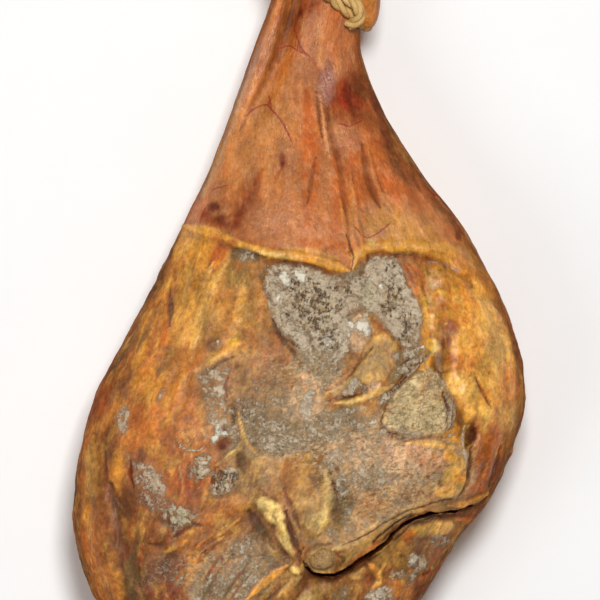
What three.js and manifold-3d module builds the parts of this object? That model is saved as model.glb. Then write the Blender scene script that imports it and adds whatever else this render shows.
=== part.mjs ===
// A dry-cured ham: a pig's hind leg on the bone, salted, matured and tied with a rope round its hock.
// It lies on its rind with the flesh side up. Millimetres, +Z up. The origin is the middle of the flat
// spot that it rests on, +Y runs to the hock, and +X to the right of someone looking down on the flesh.
import * as THREE from "three";
import { mergeVertices } from "three/addons/utils/BufferGeometryUtils.js";
import Module from "manifold-3d";

const wasm = await Module();
wasm.setup();

// Driving dimensions

// Stations from the butt to the cut hock: place along the leg, left and right edge, underside and top.
const STATIONS = [
  { y: -171, left: -26, right: -26, under: 60, over: 60 },
  { y: -166, left: -62, right: 11, under: 36, over: 84 },
  { y: -146, left: -101, right: 46, under: 17, over: 107 },
  { y: -109, left: -132, right: 77, under: 4, over: 126 },
  { y: -66, left: -148, right: 104, under: -3, over: 136 },
  { y: -30, left: -148, right: 130, under: -4, over: 139 },
  { y: 16, left: -140, right: 147, under: -4, over: 138 },
  { y: 53, left: -123, right: 146, under: -3, over: 133 },
  { y: 95, left: -101, right: 132, under: 1, over: 124 },
  { y: 139, left: -79, right: 109, under: 8, over: 112 },
  { y: 176, left: -61, right: 81, under: 16, over: 99 },
  { y: 216, left: -46, right: 56, under: 24, over: 87 },
  { y: 250, left: -34, right: 42, under: 29, over: 79 },
  { y: 267, left: -28, right: 40, under: 30, over: 78 },
  { y: 282, left: -22, right: 41, under: 31, over: 78 },
  { y: 300, left: -17, right: 44, under: 32, over: 80 },
  { y: 318, left: -16, right: 47, under: 32, over: 82 },
  { y: 338, left: -24, right: 47, under: 31, over: 82 },
  { y: 353, left: -20, right: 42, under: 36, over: 77 },
  { y: 358, left: -11, right: 34, under: 43, over: 70 },
];
const RIM_SHARE = 0.5; // height of the widest line, as a share of the thickness
const TOP_SQUARENESS = 2.35; // superellipse exponent of the flesh side, 2 being an ellipse
const UNDER_SQUARENESS = 2.15;
const HOCK_DOME = 2; // how far the cut face of the hock bulges

// Forms of the flesh side: rounded swellings and hollows, with their half-widths, turn and height.
const SWELLINGS = [
  { name: "fat lobe on the right", x: 112, y: 58, across: 24, along: 66, turn: 8, height: 8 },
  { name: "muscle above the aitch bone", x: 62, y: -18, across: 56, along: 34, turn: 30, height: 9 },
  { name: "muscle on the left", x: -92, y: 20, across: 38, along: 80, turn: -8, height: 6 },
  { name: "muscle at the butt", x: -52, y: -112, across: 48, along: 30, turn: -20, height: 5 },
  { name: "hollow in the middle", x: -8, y: 14, across: 30, along: 40, turn: -30, height: -6 },
  { name: "hollow under the rind", x: 22, y: 100, across: 46, along: 16, turn: -4, height: -3 },
];

// Long forms: crest or valley lines across the flesh side, with a half-width and a height at each point.
const CREASES = [
  {
    name: "tendon at the heel", halfWidth: 7, heights: [4, 5, 5.5, 4, 0.5],
    line: [[-14, 318], [-16, 292], [-25, 250], [-42, 213], [-58, 172]],
  },
  {
    name: "valley beside the tendon", halfWidth: 6, heights: [-5, -8, -7, -4, 0],
    line: [[0, 318], [-2, 292], [-11, 258], [-25, 222], [-38, 186]],
  },
  {
    name: "valley inside the fat lobe", halfWidth: 6, heights: [-2, -4, -4, -7],
    line: [[84, 116], [86, 74], [93, 36], [108, 6]],
  },
  {
    name: "lip of the aitch bone", halfWidth: 7, heights: [2, 4, 4, 3, 1],
    line: [[4, -73], [24, -74], [54, -56], [86, -37], [112, -34]],
  },
  {
    name: "crease down the left", halfWidth: 7, heights: [0, -5, -5, -2],
    line: [[-126, 0], [-116, -44], [-108, -84], [-104, -118]],
  },
];

// The cut edge of the rind, across the leg and down the right flank; the flesh lies below it.
const RIND_EDGE = [
  [-84, 144], [-50, 134], [-22, 123], [12, 119], [33, 110],
  [42, 124], [68, 128], [96, 123], [117, 108], [131, 86], [140, 58], [145, 20], [146, -20],
];
const RIND_STEP = 3.5; // the rind stands this far above the flesh
const RIND_BEVEL = 7; // and slopes down to it over this width

// The aitch bone's rim: a ledge that runs up to the right, with a dark gap under it.
const LEDGE = [
  [2, -81], [9, -86], [21, -88], [35, -82], [54, -68], [70, -52], [88, -47], [104, -46], [124, -37],
];
const LEDGE_DROP = 7; // the flesh below the ledge lies this much lower
const LEDGE_FADE = 44; // and rises again over this distance
const GAP = {
  width: 4, depth: 14,
  narrow: 0.45, // share of its width that is left towards the right
  undercut: 0.45, // shift under the ledge for each mm down
  clear: 16, // height of the blade over the flesh
};

// Rounded lumps: middle, half-sizes across, along and upright, turn, and squareness (1 an ellipsoid).
const BONE_END = { x: 14.5, y: -76, z: 128.5, across: 9, along: 7.5, upright: 8, turn: 25, square: 0.9 };
const HOCK_LOBE = { x: 44.5, y: 302, z: 66, across: 9, along: 30, upright: 13, turn: 0, square: 0.75 };

// The rope: a laid cord tied round the waist below the hock, its turns drawn together by a whipping.
const ROPE = { radius: 4.1, strands: 3, lay: 27, pitch: 8.5, turns: 2 }; // lay: length of a strand's turn
const WAIST = { x: 35, y: 281, slope: -0.9, lean: 0.1 }; // a point of the rope's plane, and its fall
const KNOT = { angle: 118, spread: 34, lift: 7, crown: 3, wraps: 2, pitch: 8.6 }; // angles in degrees
const CLEARANCE = 0.35; // between neighbouring solids

// Mesh densities
const SECTIONS = 68;
const TOP_STEPS = 36;
const UNDER_STEPS = 14;
const ROPE_SIDES = 9;
const ROPE_STEP = 4.3;
const ROPE_PIECE = 12; // steps of a length that is made as one body, short enough not to meet itself

// Interpolation and distances

const lerp = (a, b, t) => a + (b - a) * t;
const smooth = (t) => THREE.MathUtils.smoothstep(t, 0, 1);
const LAST = STATIONS.length - 1;

// The station beyond the butt, mirrored through its tip so that the end closes round.
const BEYOND_TIP = {
  y: STATIONS[1].y, left: STATIONS[1].right, right: STATIONS[1].left,
  under: STATIONS[1].over, over: STATIONS[1].under,
};

// One column of the stations at place u, counted in stations from the butt, by Catmull-Rom.
function stationValue(column, u) {
  const i = THREE.MathUtils.clamp(Math.floor(u), 0, LAST - 1);
  const row = (k) => (k < 0 ? BEYOND_TIP : STATIONS[Math.min(LAST, k)])[column];
  const [p0, p1, p2, p3] = [row(i - 1), row(i), row(i + 1), row(i + 2)];
  const t = u - i;
  return 0.5 * (2 * p1 + (p2 - p0) * t + (2 * p0 - 5 * p1 + 4 * p2 - p3) * t ** 2
    + (3 * p1 - p0 - 3 * p2 + p3) * t ** 3);
}

// The place between two others where a rising function passes through zero.
function zeroBetween(low, high, rising) {
  for (let i = 0; i < 32; i++) {
    const middle = (low + high) / 2;
    if (rising(middle) < 0) low = middle;
    else high = middle;
  }
  return (low + high) / 2;
}

// The nearest place on a line of points: the distance, the side (+1 to its left) and how far along.
function nearestOnLine(line, x, y) {
  let best = { distance: Infinity, side: 1, along: 0 };
  for (let i = 0; i < line.length - 1; i++) {
    const [ax, ay] = line[i];
    const [dx, dy] = [line[i + 1][0] - ax, line[i + 1][1] - ay];
    const t = THREE.MathUtils.clamp(((x - ax) * dx + (y - ay) * dy) / (dx * dx + dy * dy), 0, 1);
    const [ex, ey] = [x - ax - t * dx, y - ay - t * dy];
    const distance = Math.hypot(ex, ey);
    if (distance < best.distance) best = { distance, side: Math.sign(dx * ey - dy * ex) || 1, along: i + t };
  }
  return best;
}

// Relief of the flesh side

function swellingHeight({ x: cx, y: cy, across, along, turn, height }, x, y) {
  const a = THREE.MathUtils.degToRad(turn);
  const p = ((x - cx) * Math.cos(a) + (y - cy) * Math.sin(a)) / across;
  const q = ((y - cy) * Math.cos(a) - (x - cx) * Math.sin(a)) / along;
  return height * Math.exp(-(p * p + q * q));
}

function creaseHeight({ line, halfWidth, heights }, x, y) {
  const { distance, along } = nearestOnLine(line, x, y);
  const i = Math.min(heights.length - 2, Math.floor(along));
  return lerp(heights[i], heights[i + 1], along - i) * Math.exp(-((distance / halfWidth) ** 2));
}

// The flesh lies a step below the rind: 0 on the rind, -RIND_STEP on the flesh.
function rindStep(x, y) {
  const { distance, side } = nearestOnLine(RIND_EDGE, x, y);
  return side > 0 || y > RIND_EDGE[0][1] ? 0 : -RIND_STEP * smooth(distance / RIND_BEVEL);
}

// The drop below the aitch bone's ledge, which fades out downwards and past both ends.
function ledgeDrop(x, y) {
  const { distance, side, along } = nearestOnLine(LEDGE, x, y);
  if (side > 0) return 0;
  const ends = smooth(along / 1.5) * smooth((LEDGE.length - 1 - along) / 1.5);
  return -LEDGE_DROP * ends * smooth(distance / 3) * (1 - smooth(distance / LEDGE_FADE));
}

function relief(x, y) {
  let z = rindStep(x, y) + ledgeDrop(x, y);
  for (const form of SWELLINGS) z += swellingHeight(form, x, y);
  for (const form of CREASES) z += creaseHeight(form, x, y);
  return z;
}

// The ham's skin

// A point of it: place u along the leg, an angle round it from the right edge over the top, and how much
// of the relief it has.
function hamPoint(u, angle, shareOfRelief = 1) {
  const columns = ["y", "left", "right", "under", "over"];
  const [y, left, right, under, over] = columns.map((column) => stationValue(column, u));
  const rim = lerp(under, over, RIM_SHARE);
  const [c, s] = [Math.cos(angle), Math.sin(angle)];
  const power = 2 / (s >= 0 ? TOP_SQUARENESS : UNDER_SQUARENESS);
  const x = (left + right) / 2 + ((right - left) / 2) * Math.sign(c) * Math.abs(c) ** power;
  const rise = Math.abs(s) ** power;
  if (s < 0) return new THREE.Vector3(x, y, Math.max(0, rim - (rim - under) * rise));
  const lift = shareOfRelief * relief(x, y) * smooth(rise * 1.6);
  return new THREE.Vector3(x, y, rim + (over - rim) * rise + lift);
}

// The flesh side's height over a place of the floor.
function topHeight(x, y) {
  const u = zeroBetween(0, LAST, (v) => stationValue("y", v) - y);
  return hamPoint(u, zeroBetween(0, Math.PI, (a) => x - hamPoint(u, a).x)).z;
}

function outwardAt(u, angle) {
  const round = hamPoint(u, angle + 0.05, 0).sub(hamPoint(u, angle - 0.05, 0));
  const along = hamPoint(u + 0.1, angle, 0).sub(hamPoint(u - 0.1, angle, 0));
  return along.cross(round).normalize();
}

// Meshes and solids

// A solid from a closed geometry, with its shared vertices merged.
function solidOf(geometry) {
  geometry.deleteAttribute("normal");
  geometry.deleteAttribute("uv");
  const merged = mergeVertices(geometry, 1e-4);
  return new wasm.Manifold(new wasm.Mesh({
    numProp: 3,
    vertProperties: merged.attributes.position.array,
    triVerts: new Uint32Array(merged.index.array),
  }));
}

function meshOf(name, solid, look) {
  const mesh = solid.getMesh();
  const geometry = new THREE.BufferGeometry();
  geometry.setAttribute("position", new THREE.BufferAttribute(Float32Array.from(mesh.vertProperties), 3));
  geometry.setIndex(new THREE.BufferAttribute(Uint32Array.from(mesh.triVerts), 1));
  geometry.computeVertexNormals();
  const node = new THREE.Mesh(geometry, new THREE.MeshStandardMaterial(look));
  node.name = name;
  return node;
}

// Rings of points joined into a closed skin, each end drawn together in a point of its own. The rings
// turn clockwise to someone who looks along the row of them.
function skinOf(rings, firstTip, lastTip) {
  const n = rings[0].length;
  const points = [...rings.flat(), firstTip, lastTip];
  const [first, last] = [points.length - 2, points.length - 1];
  const faces = [];
  for (let j = 0; j < n; j++) {
    const k = (j + 1) % n;
    faces.push(first, j, k);
    for (let i = 0; i < rings.length - 1; i++) {
      const [a, b, c, d] = [i * n + j, i * n + k, (i + 1) * n + j, (i + 1) * n + k];
      faces.push(a, c, b, b, c, d);
    }
    faces.push(last, (rings.length - 1) * n + k, (rings.length - 1) * n + j);
  }
  const geometry = new THREE.BufferGeometry().setFromPoints(points);
  geometry.setIndex(faces);
  return geometry;
}

function legSolid() {
  const top = Array.from({ length: TOP_STEPS }, (_, j) => (Math.PI * j) / TOP_STEPS);
  const under = Array.from({ length: UNDER_STEPS }, (_, j) => Math.PI * (1 + j / UNDER_STEPS));
  const places = Array.from({ length: SECTIONS }, (_, i) => (LAST * (i + 0.6)) / (SECTIONS - 0.4));
  const rings = places.map((u) => [...top, ...under].map((angle) => hamPoint(u, angle)));
  const [tip, end] = [STATIONS[0], STATIONS[LAST]];
  const butt = new THREE.Vector3(tip.left, tip.y, tip.over);
  const hock = new THREE.Vector3((end.left + end.right) / 2, end.y + HOCK_DOME, (end.under + end.over) / 2);
  return solidOf(skinOf(rings, butt, hock));
}

// The blade that cuts the dark gap under the ledge, leaning in below it.
function gapSolid() {
  const curve = new THREE.SplineCurve(LEDGE.map(([x, y]) => new THREE.Vector2(x, y)));
  const steps = 22;
  const ringAt = (share) => {
    const [p, t] = [curve.getPointAt(share), curve.getTangentAt(share)];
    const inward = new THREE.Vector2(-t.y, t.x);
    const taper = Math.sin(Math.PI * share) ** 0.5;
    const half = (GAP.width / 2) * taper * lerp(1, GAP.narrow, smooth((share - 0.55) / 0.2));
    const depth = GAP.depth * taper;
    const level = topHeight(p.x - 3 * inward.x, p.y - 3 * inward.y);
    const corner = (side, height) => {
      const shift = side * half + GAP.undercut * Math.max(0, -height);
      return new THREE.Vector3(p.x + shift * inward.x, p.y + shift * inward.y, level + height);
    };
    const heights = [GAP.clear, 0, -depth];
    return [
      ...heights.map((height) => corner(1, height)),
      ...heights.reverse().map((height) => corner(-1, height)),
    ];
  };
  const rings = Array.from({ length: steps }, (_, i) => ringAt((i + 0.5) / steps));
  const middle = (ring) => ring.reduce((sum, p) => sum.add(p), new THREE.Vector3()).divideScalar(ring.length);
  return solidOf(skinOf(rings, middle(rings[0]), middle(rings[steps - 1])));
}

// A rounded lump, or with a clearance the pocket that it sits in.
function lumpSolid({ x, y, z, across, along, upright, turn, square }, clearance = 0) {
  const geometry = new THREE.SphereGeometry(1, 20, 14).rotateX(Math.PI / 2);
  const points = geometry.attributes.position;
  const squared = (v) => Math.sign(v) * Math.abs(v) ** square;
  for (let i = 0; i < points.count; i++) {
    points.setXYZ(i, squared(points.getX(i)), squared(points.getY(i)), squared(points.getZ(i)));
  }
  return solidOf(geometry.scale(across + clearance, along + clearance, upright + clearance)
    .rotateZ(THREE.MathUtils.degToRad(turn)).translate(x, y, z));
}

// Rope

// A point at a height over the skin, on a turn round the waist that lies a shift from the rope's plane.
function roundWaist(angle, shift, height) {
  const { x, y, slope, lean } = WAIST;
  const off = (p) => (p.y - y - slope * (p.x - x) + lean * (p.z - 70)) / Math.hypot(1, slope) - shift;
  const u = zeroBetween(LAST * 0.55, LAST, (v) => off(hamPoint(v, angle, 0)));
  return hamPoint(u, angle, 0).addScaledVector(outwardAt(u, angle), height);
}

// A laid rope along an open line of points, its strands winding about the middle, or with a clearance the
// round groove that it presses into the skin.
function ropeSolid(points, clearance = 0) {
  const curve = new THREE.CatmullRomCurve3(points);
  const steps = Math.round(curve.getLength() / ROPE_STEP);
  const { normals, binormals } = curve.computeFrenetFrames(steps);
  const centres = curve.getSpacedPoints(steps);
  const rings = centres.map((centre, i) => Array.from({ length: ROPE_SIDES }, (_, k) => {
    const swing = (2 * Math.PI * k) / ROPE_SIDES;
    const angle = swing + (2 * Math.PI * i * ROPE_STEP) / ROPE.lay;
    const hollow = clearance ? 0 : 0.18 * (1 - Math.abs(Math.cos((swing * ROPE.strands) / 2)));
    const radius = ROPE.radius * (1 - hollow) + clearance;
    return centre.clone().addScaledVector(normals[i], radius * Math.cos(angle))
      .addScaledVector(binormals[i], -radius * Math.sin(angle));
  }));
  const lengths = Array.from({ length: Math.ceil(steps / ROPE_PIECE) }, (_, k) => {
    const [from, to] = [k * ROPE_PIECE, Math.min(steps, (k + 1) * ROPE_PIECE + 1)];
    return solidOf(skinOf(rings.slice(from, to + 1), centres[from], centres[to]));
  });
  return wasm.Manifold.union(lengths);
}

// The line of the turns; their three passes are lifted and drawn together where they cross the knot.
function turnsLine() {
  const tail = KNOT.spread * 0.6;
  const steps = 40 * ROPE.turns;
  return Array.from({ length: steps + 1 }, (_, i) => {
    const along = lerp(-tail, 360 * ROPE.turns + tail, i / steps);
    const pass = along / 360 - ROPE.turns / 2;
    const near = 1 - smooth((Math.abs(((along + 180) % 360) - 180) - 12) / KNOT.spread);
    const height = ROPE.radius + near * (KNOT.lift + KNOT.crown * (1 - Math.abs(pass)));
    const shift = ROPE.pitch * pass * (1 - near / 2);
    return roundWaist(THREE.MathUtils.degToRad(KNOT.angle + along), shift, height);
  });
}

// The whipping: wraps of the same rope around the turns, across them.
function knotSolid() {
  const at = (degrees, height) => roundWaist(THREE.MathUtils.degToRad(KNOT.angle + degrees), 0, height);
  const middle = at(0, ROPE.radius + KNOT.lift + KNOT.crown / 2);
  const along = at(8, 12).sub(at(-8, 12)).normalize();
  const up = middle.clone().sub(at(0, 0)).normalize();
  const across = new THREE.Vector3().crossVectors(up, along).normalize();
  const steps = KNOT.wraps * 14;
  const points = Array.from({ length: steps + 1 }, (_, i) => {
    const turn = KNOT.wraps * (i / steps - 0.5);
    return middle.clone().addScaledVector(along, KNOT.pitch * turn)
      .addScaledVector(across, (ROPE.pitch / 2 + ROPE.radius * 1.2) * Math.cos(2 * Math.PI * turn))
      .addScaledVector(up, (ROPE.radius * 1.2 + KNOT.crown / 2) * Math.sin(2 * Math.PI * turn));
  });
  return ropeSolid(points);
}

// A solid with the small voids shut in between its strands filled.
function withoutVoids(solid) {
  return solid.decompose().reduce((biggest, body) => (body.volume() > biggest.volume() ? body : biggest));
}

const leg = legSolid().add(lumpSolid(HOCK_LOBE));
const ropeGroove = ropeSolid(turnsLine(), CLEARANCE);
const ham = leg.subtract(gapSolid()).subtract(lumpSolid(BONE_END, CLEARANCE)).subtract(ropeGroove);
const rope = withoutVoids(ropeSolid(turnsLine()).add(knotSolid()));

const group = new THREE.Group();
group.name = "cured_ham";
group.add(
  meshOf("ham", ham, { color: "#b07642", roughness: 0.55 }),
  meshOf("bone_end", lumpSolid(BONE_END), { color: "#ad8955", roughness: 0.6 }),
  meshOf("rope", rope, { color: "#cb9a58", roughness: 0.9 }),
);
export default group;
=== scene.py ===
"""A dry-cured ham with a rope round its hock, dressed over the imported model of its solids.

It lies on its rind with the flesh side up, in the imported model's frame: metres, +Z up, +Y to the hock. The
shapes are worked out in millimetres. The places of the small features of the flesh side were read off the
photograph, so they are given in its pixels, which photo_to_mm turns into millimetres.
"""

import itertools
import math

import bpy
import numpy as np
from bpy.props import FloatProperty, FloatVectorProperty, IntProperty, PointerProperty
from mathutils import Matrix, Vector


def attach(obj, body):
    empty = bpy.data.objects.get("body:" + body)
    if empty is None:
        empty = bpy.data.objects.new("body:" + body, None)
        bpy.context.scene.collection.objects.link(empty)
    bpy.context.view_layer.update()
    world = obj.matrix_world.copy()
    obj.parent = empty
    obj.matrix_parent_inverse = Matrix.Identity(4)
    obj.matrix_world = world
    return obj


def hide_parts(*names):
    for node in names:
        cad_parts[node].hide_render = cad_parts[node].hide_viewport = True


bl_info = {
    "name": "Cured Ham",
    "version": (1, 0, 0),
    "blender": (4, 5, 0),
    "location": "View3D > Sidebar > Cured Ham",
    "description": "Builds a dry-cured ham with mould, fat, rind and a hock rope over its packed solids",
    "category": "Object",
}

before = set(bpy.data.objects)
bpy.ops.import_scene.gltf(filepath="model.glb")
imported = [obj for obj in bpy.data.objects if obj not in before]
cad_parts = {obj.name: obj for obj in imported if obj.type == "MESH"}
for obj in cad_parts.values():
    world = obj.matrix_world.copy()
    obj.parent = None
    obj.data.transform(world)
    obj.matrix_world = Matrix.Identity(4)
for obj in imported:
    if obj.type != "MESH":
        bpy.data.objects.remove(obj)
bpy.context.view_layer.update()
MM = 0.001

# Sizes shared with the solids (mm)

# Stations from the butt to the cut hock: place along the leg, left and right edge, underside and top.
STATIONS = np.array([
    (-171, -26, -26, 60, 60),
    (-166, -62, 11, 36, 84),
    (-146, -101, 46, 17, 107),
    (-109, -132, 77, 4, 126),
    (-66, -148, 104, -3, 136),
    (-30, -148, 130, -4, 139),
    (16, -140, 147, -4, 138),
    (53, -123, 146, -3, 133),
    (95, -101, 132, 1, 124),
    (139, -79, 109, 8, 112),
    (176, -61, 81, 16, 99),
    (216, -46, 56, 24, 87),
    (250, -34, 42, 29, 79),
    (267, -28, 40, 30, 78),
    (282, -22, 41, 31, 78),
    (300, -17, 44, 32, 80),
    (318, -16, 47, 32, 82),
    (338, -24, 47, 31, 82),
    (353, -20, 42, 36, 77),
    (358, -11, 34, 43, 70),
], float)
LAST = len(STATIONS) - 1
RIM_SHARE = 0.5
TOP_SQUARENESS = 2.35
UNDER_SQUARENESS = 2.15
HOCK_DOME = 2.0

# Rounded swellings and hollows of the flesh side: middle, half-widths, turn in degrees and height.
SWELLINGS = (
    (112, 58, 24, 66, 8, 8),  # fat lobe on the right
    (62, -18, 56, 34, 30, 9),  # muscle above the aitch bone
    (-92, 20, 38, 80, -8, 6),  # muscle on the left
    (-52, -112, 48, 30, -20, 5),  # muscle at the butt
    (-8, 14, 30, 40, -30, -6),  # hollow in the middle
    (22, 100, 46, 16, -4, -3),  # hollow under the rind
)

# Crest and valley lines: the line, its half-width and the height at each of its points.
CREASES = (
    (((-14, 318), (-16, 292), (-25, 250), (-42, 213), (-58, 172)), 7, (4, 5, 5.5, 4, 0.5)),  # heel tendon
    (((0, 318), (-2, 292), (-11, 258), (-25, 222), (-38, 186)), 6, (-5, -8, -7, -4, 0)),  # valley beside it
    (((84, 116), (86, 74), (93, 36), (108, 6)), 6, (-2, -4, -4, -7)),  # valley inside the fat lobe
    (((4, -73), (24, -74), (54, -56), (86, -37), (112, -34)), 7, (2, 4, 4, 3, 1)),  # aitch bone's lip
    (((-126, 0), (-116, -44), (-108, -84), (-104, -118)), 7, (0, -5, -5, -2)),  # crease down the left
)

RIND_EDGE = (
    (-84, 144), (-50, 134), (-22, 123), (12, 119), (33, 110),
    (42, 124), (68, 128), (96, 123), (117, 108), (131, 86), (140, 58), (145, 20), (146, -20),
)
RIND_STEP = 3.5
RIND_BEVEL = 7.0

LEDGE = ((2, -81), (9, -86), (21, -88), (35, -82), (54, -68), (70, -52), (88, -47), (104, -46), (124, -37))
LEDGE_DROP = 7.0
LEDGE_FADE = 44.0
GAP_WIDTH = 4.0
GAP_DEPTH = 14.0
GAP_NARROW = 0.45
GAP_UNDERCUT = 0.45
BLADE_RISE = 16

# Rounded lumps: middle, half-sizes across, along and upright, turn and squareness.
BONE_END = ((14.5, -76, 128.5), (9, 7.5, 8), 25, 0.9)
HOCK_LOBE = ((44.5, 302, 66), (9, 30, 13), 0, 0.75)

# The rope's turns round the waist and their whipping.
ROPE_PITCH = 8.5
ROPE_TURNS = 2
WAIST = {"x": 35, "y": 281, "z": 70, "slope": -0.9, "lean": 0.1}
KNOT = {"angle": 118, "spread": 34, "flat": 12, "lift": 7, "crown": 3, "wraps": 2, "pitch": 8.6}
STRAND_OFFSET = 0.50  # both as a share of the rope's radius
STRAND_RADIUS = 0.54

# Where the skin's fine shape changes (mm)
SHANK_START = 118
SHANK_BLEND = 30
FOLDS_END = 215
FOLDS_FADE = 90
LOBE_CORNER = (33, 268)
RESTING_HEIGHT = 12.0  # nearer to the ground the skin stays as it is in the solids
FINE_STRETCH = (-112, 296)
SHARP_ANGLE = 62

# The straight bar that stands for the leg when its grain is worked out (mm)
BAR_HALF_WIDTH = 100
BAR_HEIGHT = 60
THINNEST = 8

# The photograph's window: millimetres to a pixel, and the pixel over the frame's origin.
PIXEL = 0.66
ORIGIN_PIXEL = (300.0, 440.0)
WINDOW = 600

# Where the ground under the features changes, in the photograph's pixels
LEFT_FAT_EDGE = 258
RIGHT_FAT_EDGE = 420
RIGHT_FAT_END = 470
BUTT_START = 580

# Camera, lamps and floor (m); the camera is far enough away to flatten the perspective.
CAMERA_HEIGHT = 5.0
WIDEST_HEIGHT = 0.07
LAMP_AIM = (0, 0.09, 0.08)
KEY_PLACE = (0.2, 0.8, 2.8)
KEY_SIZE = 0.6
FILL_PLACE = (-1.2, -0.6, 1.8)
FILL_SIZE = 1.0
FILL_SHARE = 0.14
FLOOR_DROP = 0.0005


def photo_to_mm(px, py):
    return (px - ORIGIN_PIXEL[0]) * PIXEL, (ORIGIN_PIXEL[1] - py) * PIXEL


# Numbers

def smooth(t):
    t = np.clip(t, 0.0, 1.0)
    return t * t * (3.0 - 2.0 * t)


def value_noise(points, cell, seed):
    """Smooth noise from -1 to 1 at points; cell is its grain, one number or one for each axis."""
    place = points / np.asarray(cell, float)
    corner = np.floor(place)
    share = smooth(place - corner)
    corner = corner.astype(np.int64)
    total = np.zeros(len(points))
    for step in itertools.product((0, 1), repeat=3):
        x, y, z = (corner + step).T
        mixed = (x * 73856093) ^ (y * 19349663) ^ (z * 83492791) ^ (seed * 2654435761)
        mixed = ((mixed ^ (mixed >> 13)) * 1274126177) & 0xFFFFFFFF
        mixed = ((mixed ^ (mixed >> 15)) * 2246822519) & 0xFFFFFFFF
        weight = np.prod(np.where(step, share, 1.0 - share), axis=1)
        total += weight * ((mixed >> 8) & 0xFFFF) / 65535.0
    return total * 2.0 - 1.0


def cloud_noise(points, cell, seed, octaves=3):
    cell = np.asarray(cell, float)
    return sum(value_noise(points, cell / 2**k, seed + k) / 2**k for k in range(octaves)) / 1.6


def ridge_noise(points, cell, seed, octaves=3):
    """Noise from 0 to 1 with sharp crests, like dried wrinkles."""
    cell = np.asarray(cell, float)
    parts = (1.0 - np.abs(value_noise(points, cell / 2**k, seed + k)) * 2.0 for k in range(octaves))
    return sum(np.clip(part, 0.0, 1.0) / 2**k for k, part in enumerate(parts)) / 1.75


def nearest_on_line(line, x, y):
    """Distance to a line of points, the side of it (+1 to its left) and how far along, for arrays x and y."""
    best = np.full(np.shape(x), np.inf)
    side, along = np.ones_like(best), np.zeros_like(best)
    for i, ((ax, ay), (bx, by)) in enumerate(zip(line, line[1:])):
        dx, dy = bx - ax, by - ay
        t = np.clip(((x - ax) * dx + (y - ay) * dy) / (dx * dx + dy * dy), 0.0, 1.0)
        ex, ey = x - ax - t * dx, y - ay - t * dy
        distance = np.hypot(ex, ey)
        nearer = distance < best
        best = np.where(nearer, distance, best)
        side = np.where(nearer, np.where(dx * ey - dy * ex < 0, -1.0, 1.0), side)
        along = np.where(nearer, i + t, along)
    return best, side, along


# The leg's form, as in the solids

def station_rows(u):
    """The stations' columns at places u, counted in stations from the butt, by Catmull-Rom."""
    tip = STATIONS[1][[0, 2, 1, 4, 3]]
    rows = np.vstack([tip, STATIONS, STATIONS[-1]])
    i = np.clip(np.floor(u).astype(int), 0, LAST - 1)
    t = (u - i)[..., None]
    p0, p1, p2, p3 = rows[i], rows[i + 1], rows[i + 2], rows[i + 3]
    return 0.5 * (2 * p1 + (p2 - p0) * t + (2 * p0 - 5 * p1 + 4 * p2 - p3) * t**2
                  + (3 * p1 - p0 - 3 * p2 + p3) * t**3)


def relief(x, y):
    distance, side, _ = nearest_on_line(RIND_EDGE, x, y)
    on_rind = (side > 0) | (y > RIND_EDGE[0][1])
    z = np.where(on_rind, 0.0, -RIND_STEP * smooth(distance / RIND_BEVEL))
    distance, side, along = nearest_on_line(LEDGE, x, y)
    ends = smooth(along / 1.5) * smooth((len(LEDGE) - 1 - along) / 1.5)
    drop = LEDGE_DROP * ends * smooth(distance / 3) * (1 - smooth(distance / LEDGE_FADE))
    z = z - np.where(side > 0, 0.0, drop)
    for cx, cy, across, length, turn, height in SWELLINGS:
        a = math.radians(turn)
        p = ((x - cx) * math.cos(a) + (y - cy) * math.sin(a)) / across
        q = ((y - cy) * math.cos(a) - (x - cx) * math.sin(a)) / length
        z = z + height * np.exp(-(p * p + q * q))
    for line, half_width, heights in CREASES:
        distance, _, along = nearest_on_line(line, x, y)
        z = z + np.interp(along, range(len(heights)), heights) * np.exp(-((distance / half_width) ** 2))
    return z


def section_sizes(left, right, under, over):
    """Middle and half-width across, and the height of the widest line."""
    return (left + right) / 2, (right - left) / 2, under + (over - under) * RIM_SHARE


def leg_points(u, angle, with_relief=True):
    """Points of the skin at places u along the leg and angles round it from the right edge over the top."""
    y, left, right, under, over = np.moveaxis(station_rows(u), -1, 0)
    middle, half, rim = section_sizes(left, right, under, over)
    c, s = np.cos(angle), np.sin(angle)
    power = np.where(s >= 0, 2 / TOP_SQUARENESS, 2 / UNDER_SQUARENESS)
    x = middle + half * np.sign(c) * np.abs(c) ** power
    rise = np.abs(s) ** power
    top = rim + (over - rim) * rise
    if with_relief:
        top = top + relief(x, y) * smooth(rise * 1.6)
    z = np.where(s >= 0, top, np.maximum(0.0, rim - (rim - under) * rise))
    return np.stack([x, y, z], axis=-1)


def zero_between(low, high, rising):
    for _ in range(32):
        middle = (low + high) / 2
        low, high = (middle, high) if rising(middle) < 0 else (low, middle)
    return (low + high) / 2


def top_height(x, y):
    u = zero_between(0.0, float(LAST), lambda v: station_rows(np.array(v))[0] - y)
    angle = zero_between(0.0, math.pi, lambda a: x - leg_points(np.array(u), np.array(a))[0])
    return leg_points(np.array(u), np.array(angle))[2]


def straightened(points):
    """The leg's points as if it were a straight round bar: the skin's grain runs along its Y."""
    fine = np.linspace(0, LAST, 600)
    rows = station_rows(fine)
    left, right, under, over = (np.interp(points[:, 1], rows[:, 0], rows[:, k]) for k in range(1, 5))
    middle, half, rim = section_sizes(left, right, under, over)
    across = (points[:, 0] - middle) * (BAR_HALF_WIDTH / np.maximum(half, THINNEST)) ** 0.5
    upright = (points[:, 2] - rim) / np.maximum(over - rim, THINNEST) * BAR_HEIGHT
    return np.stack([across, points[:, 1], upright], axis=1)


# Meshes

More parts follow.
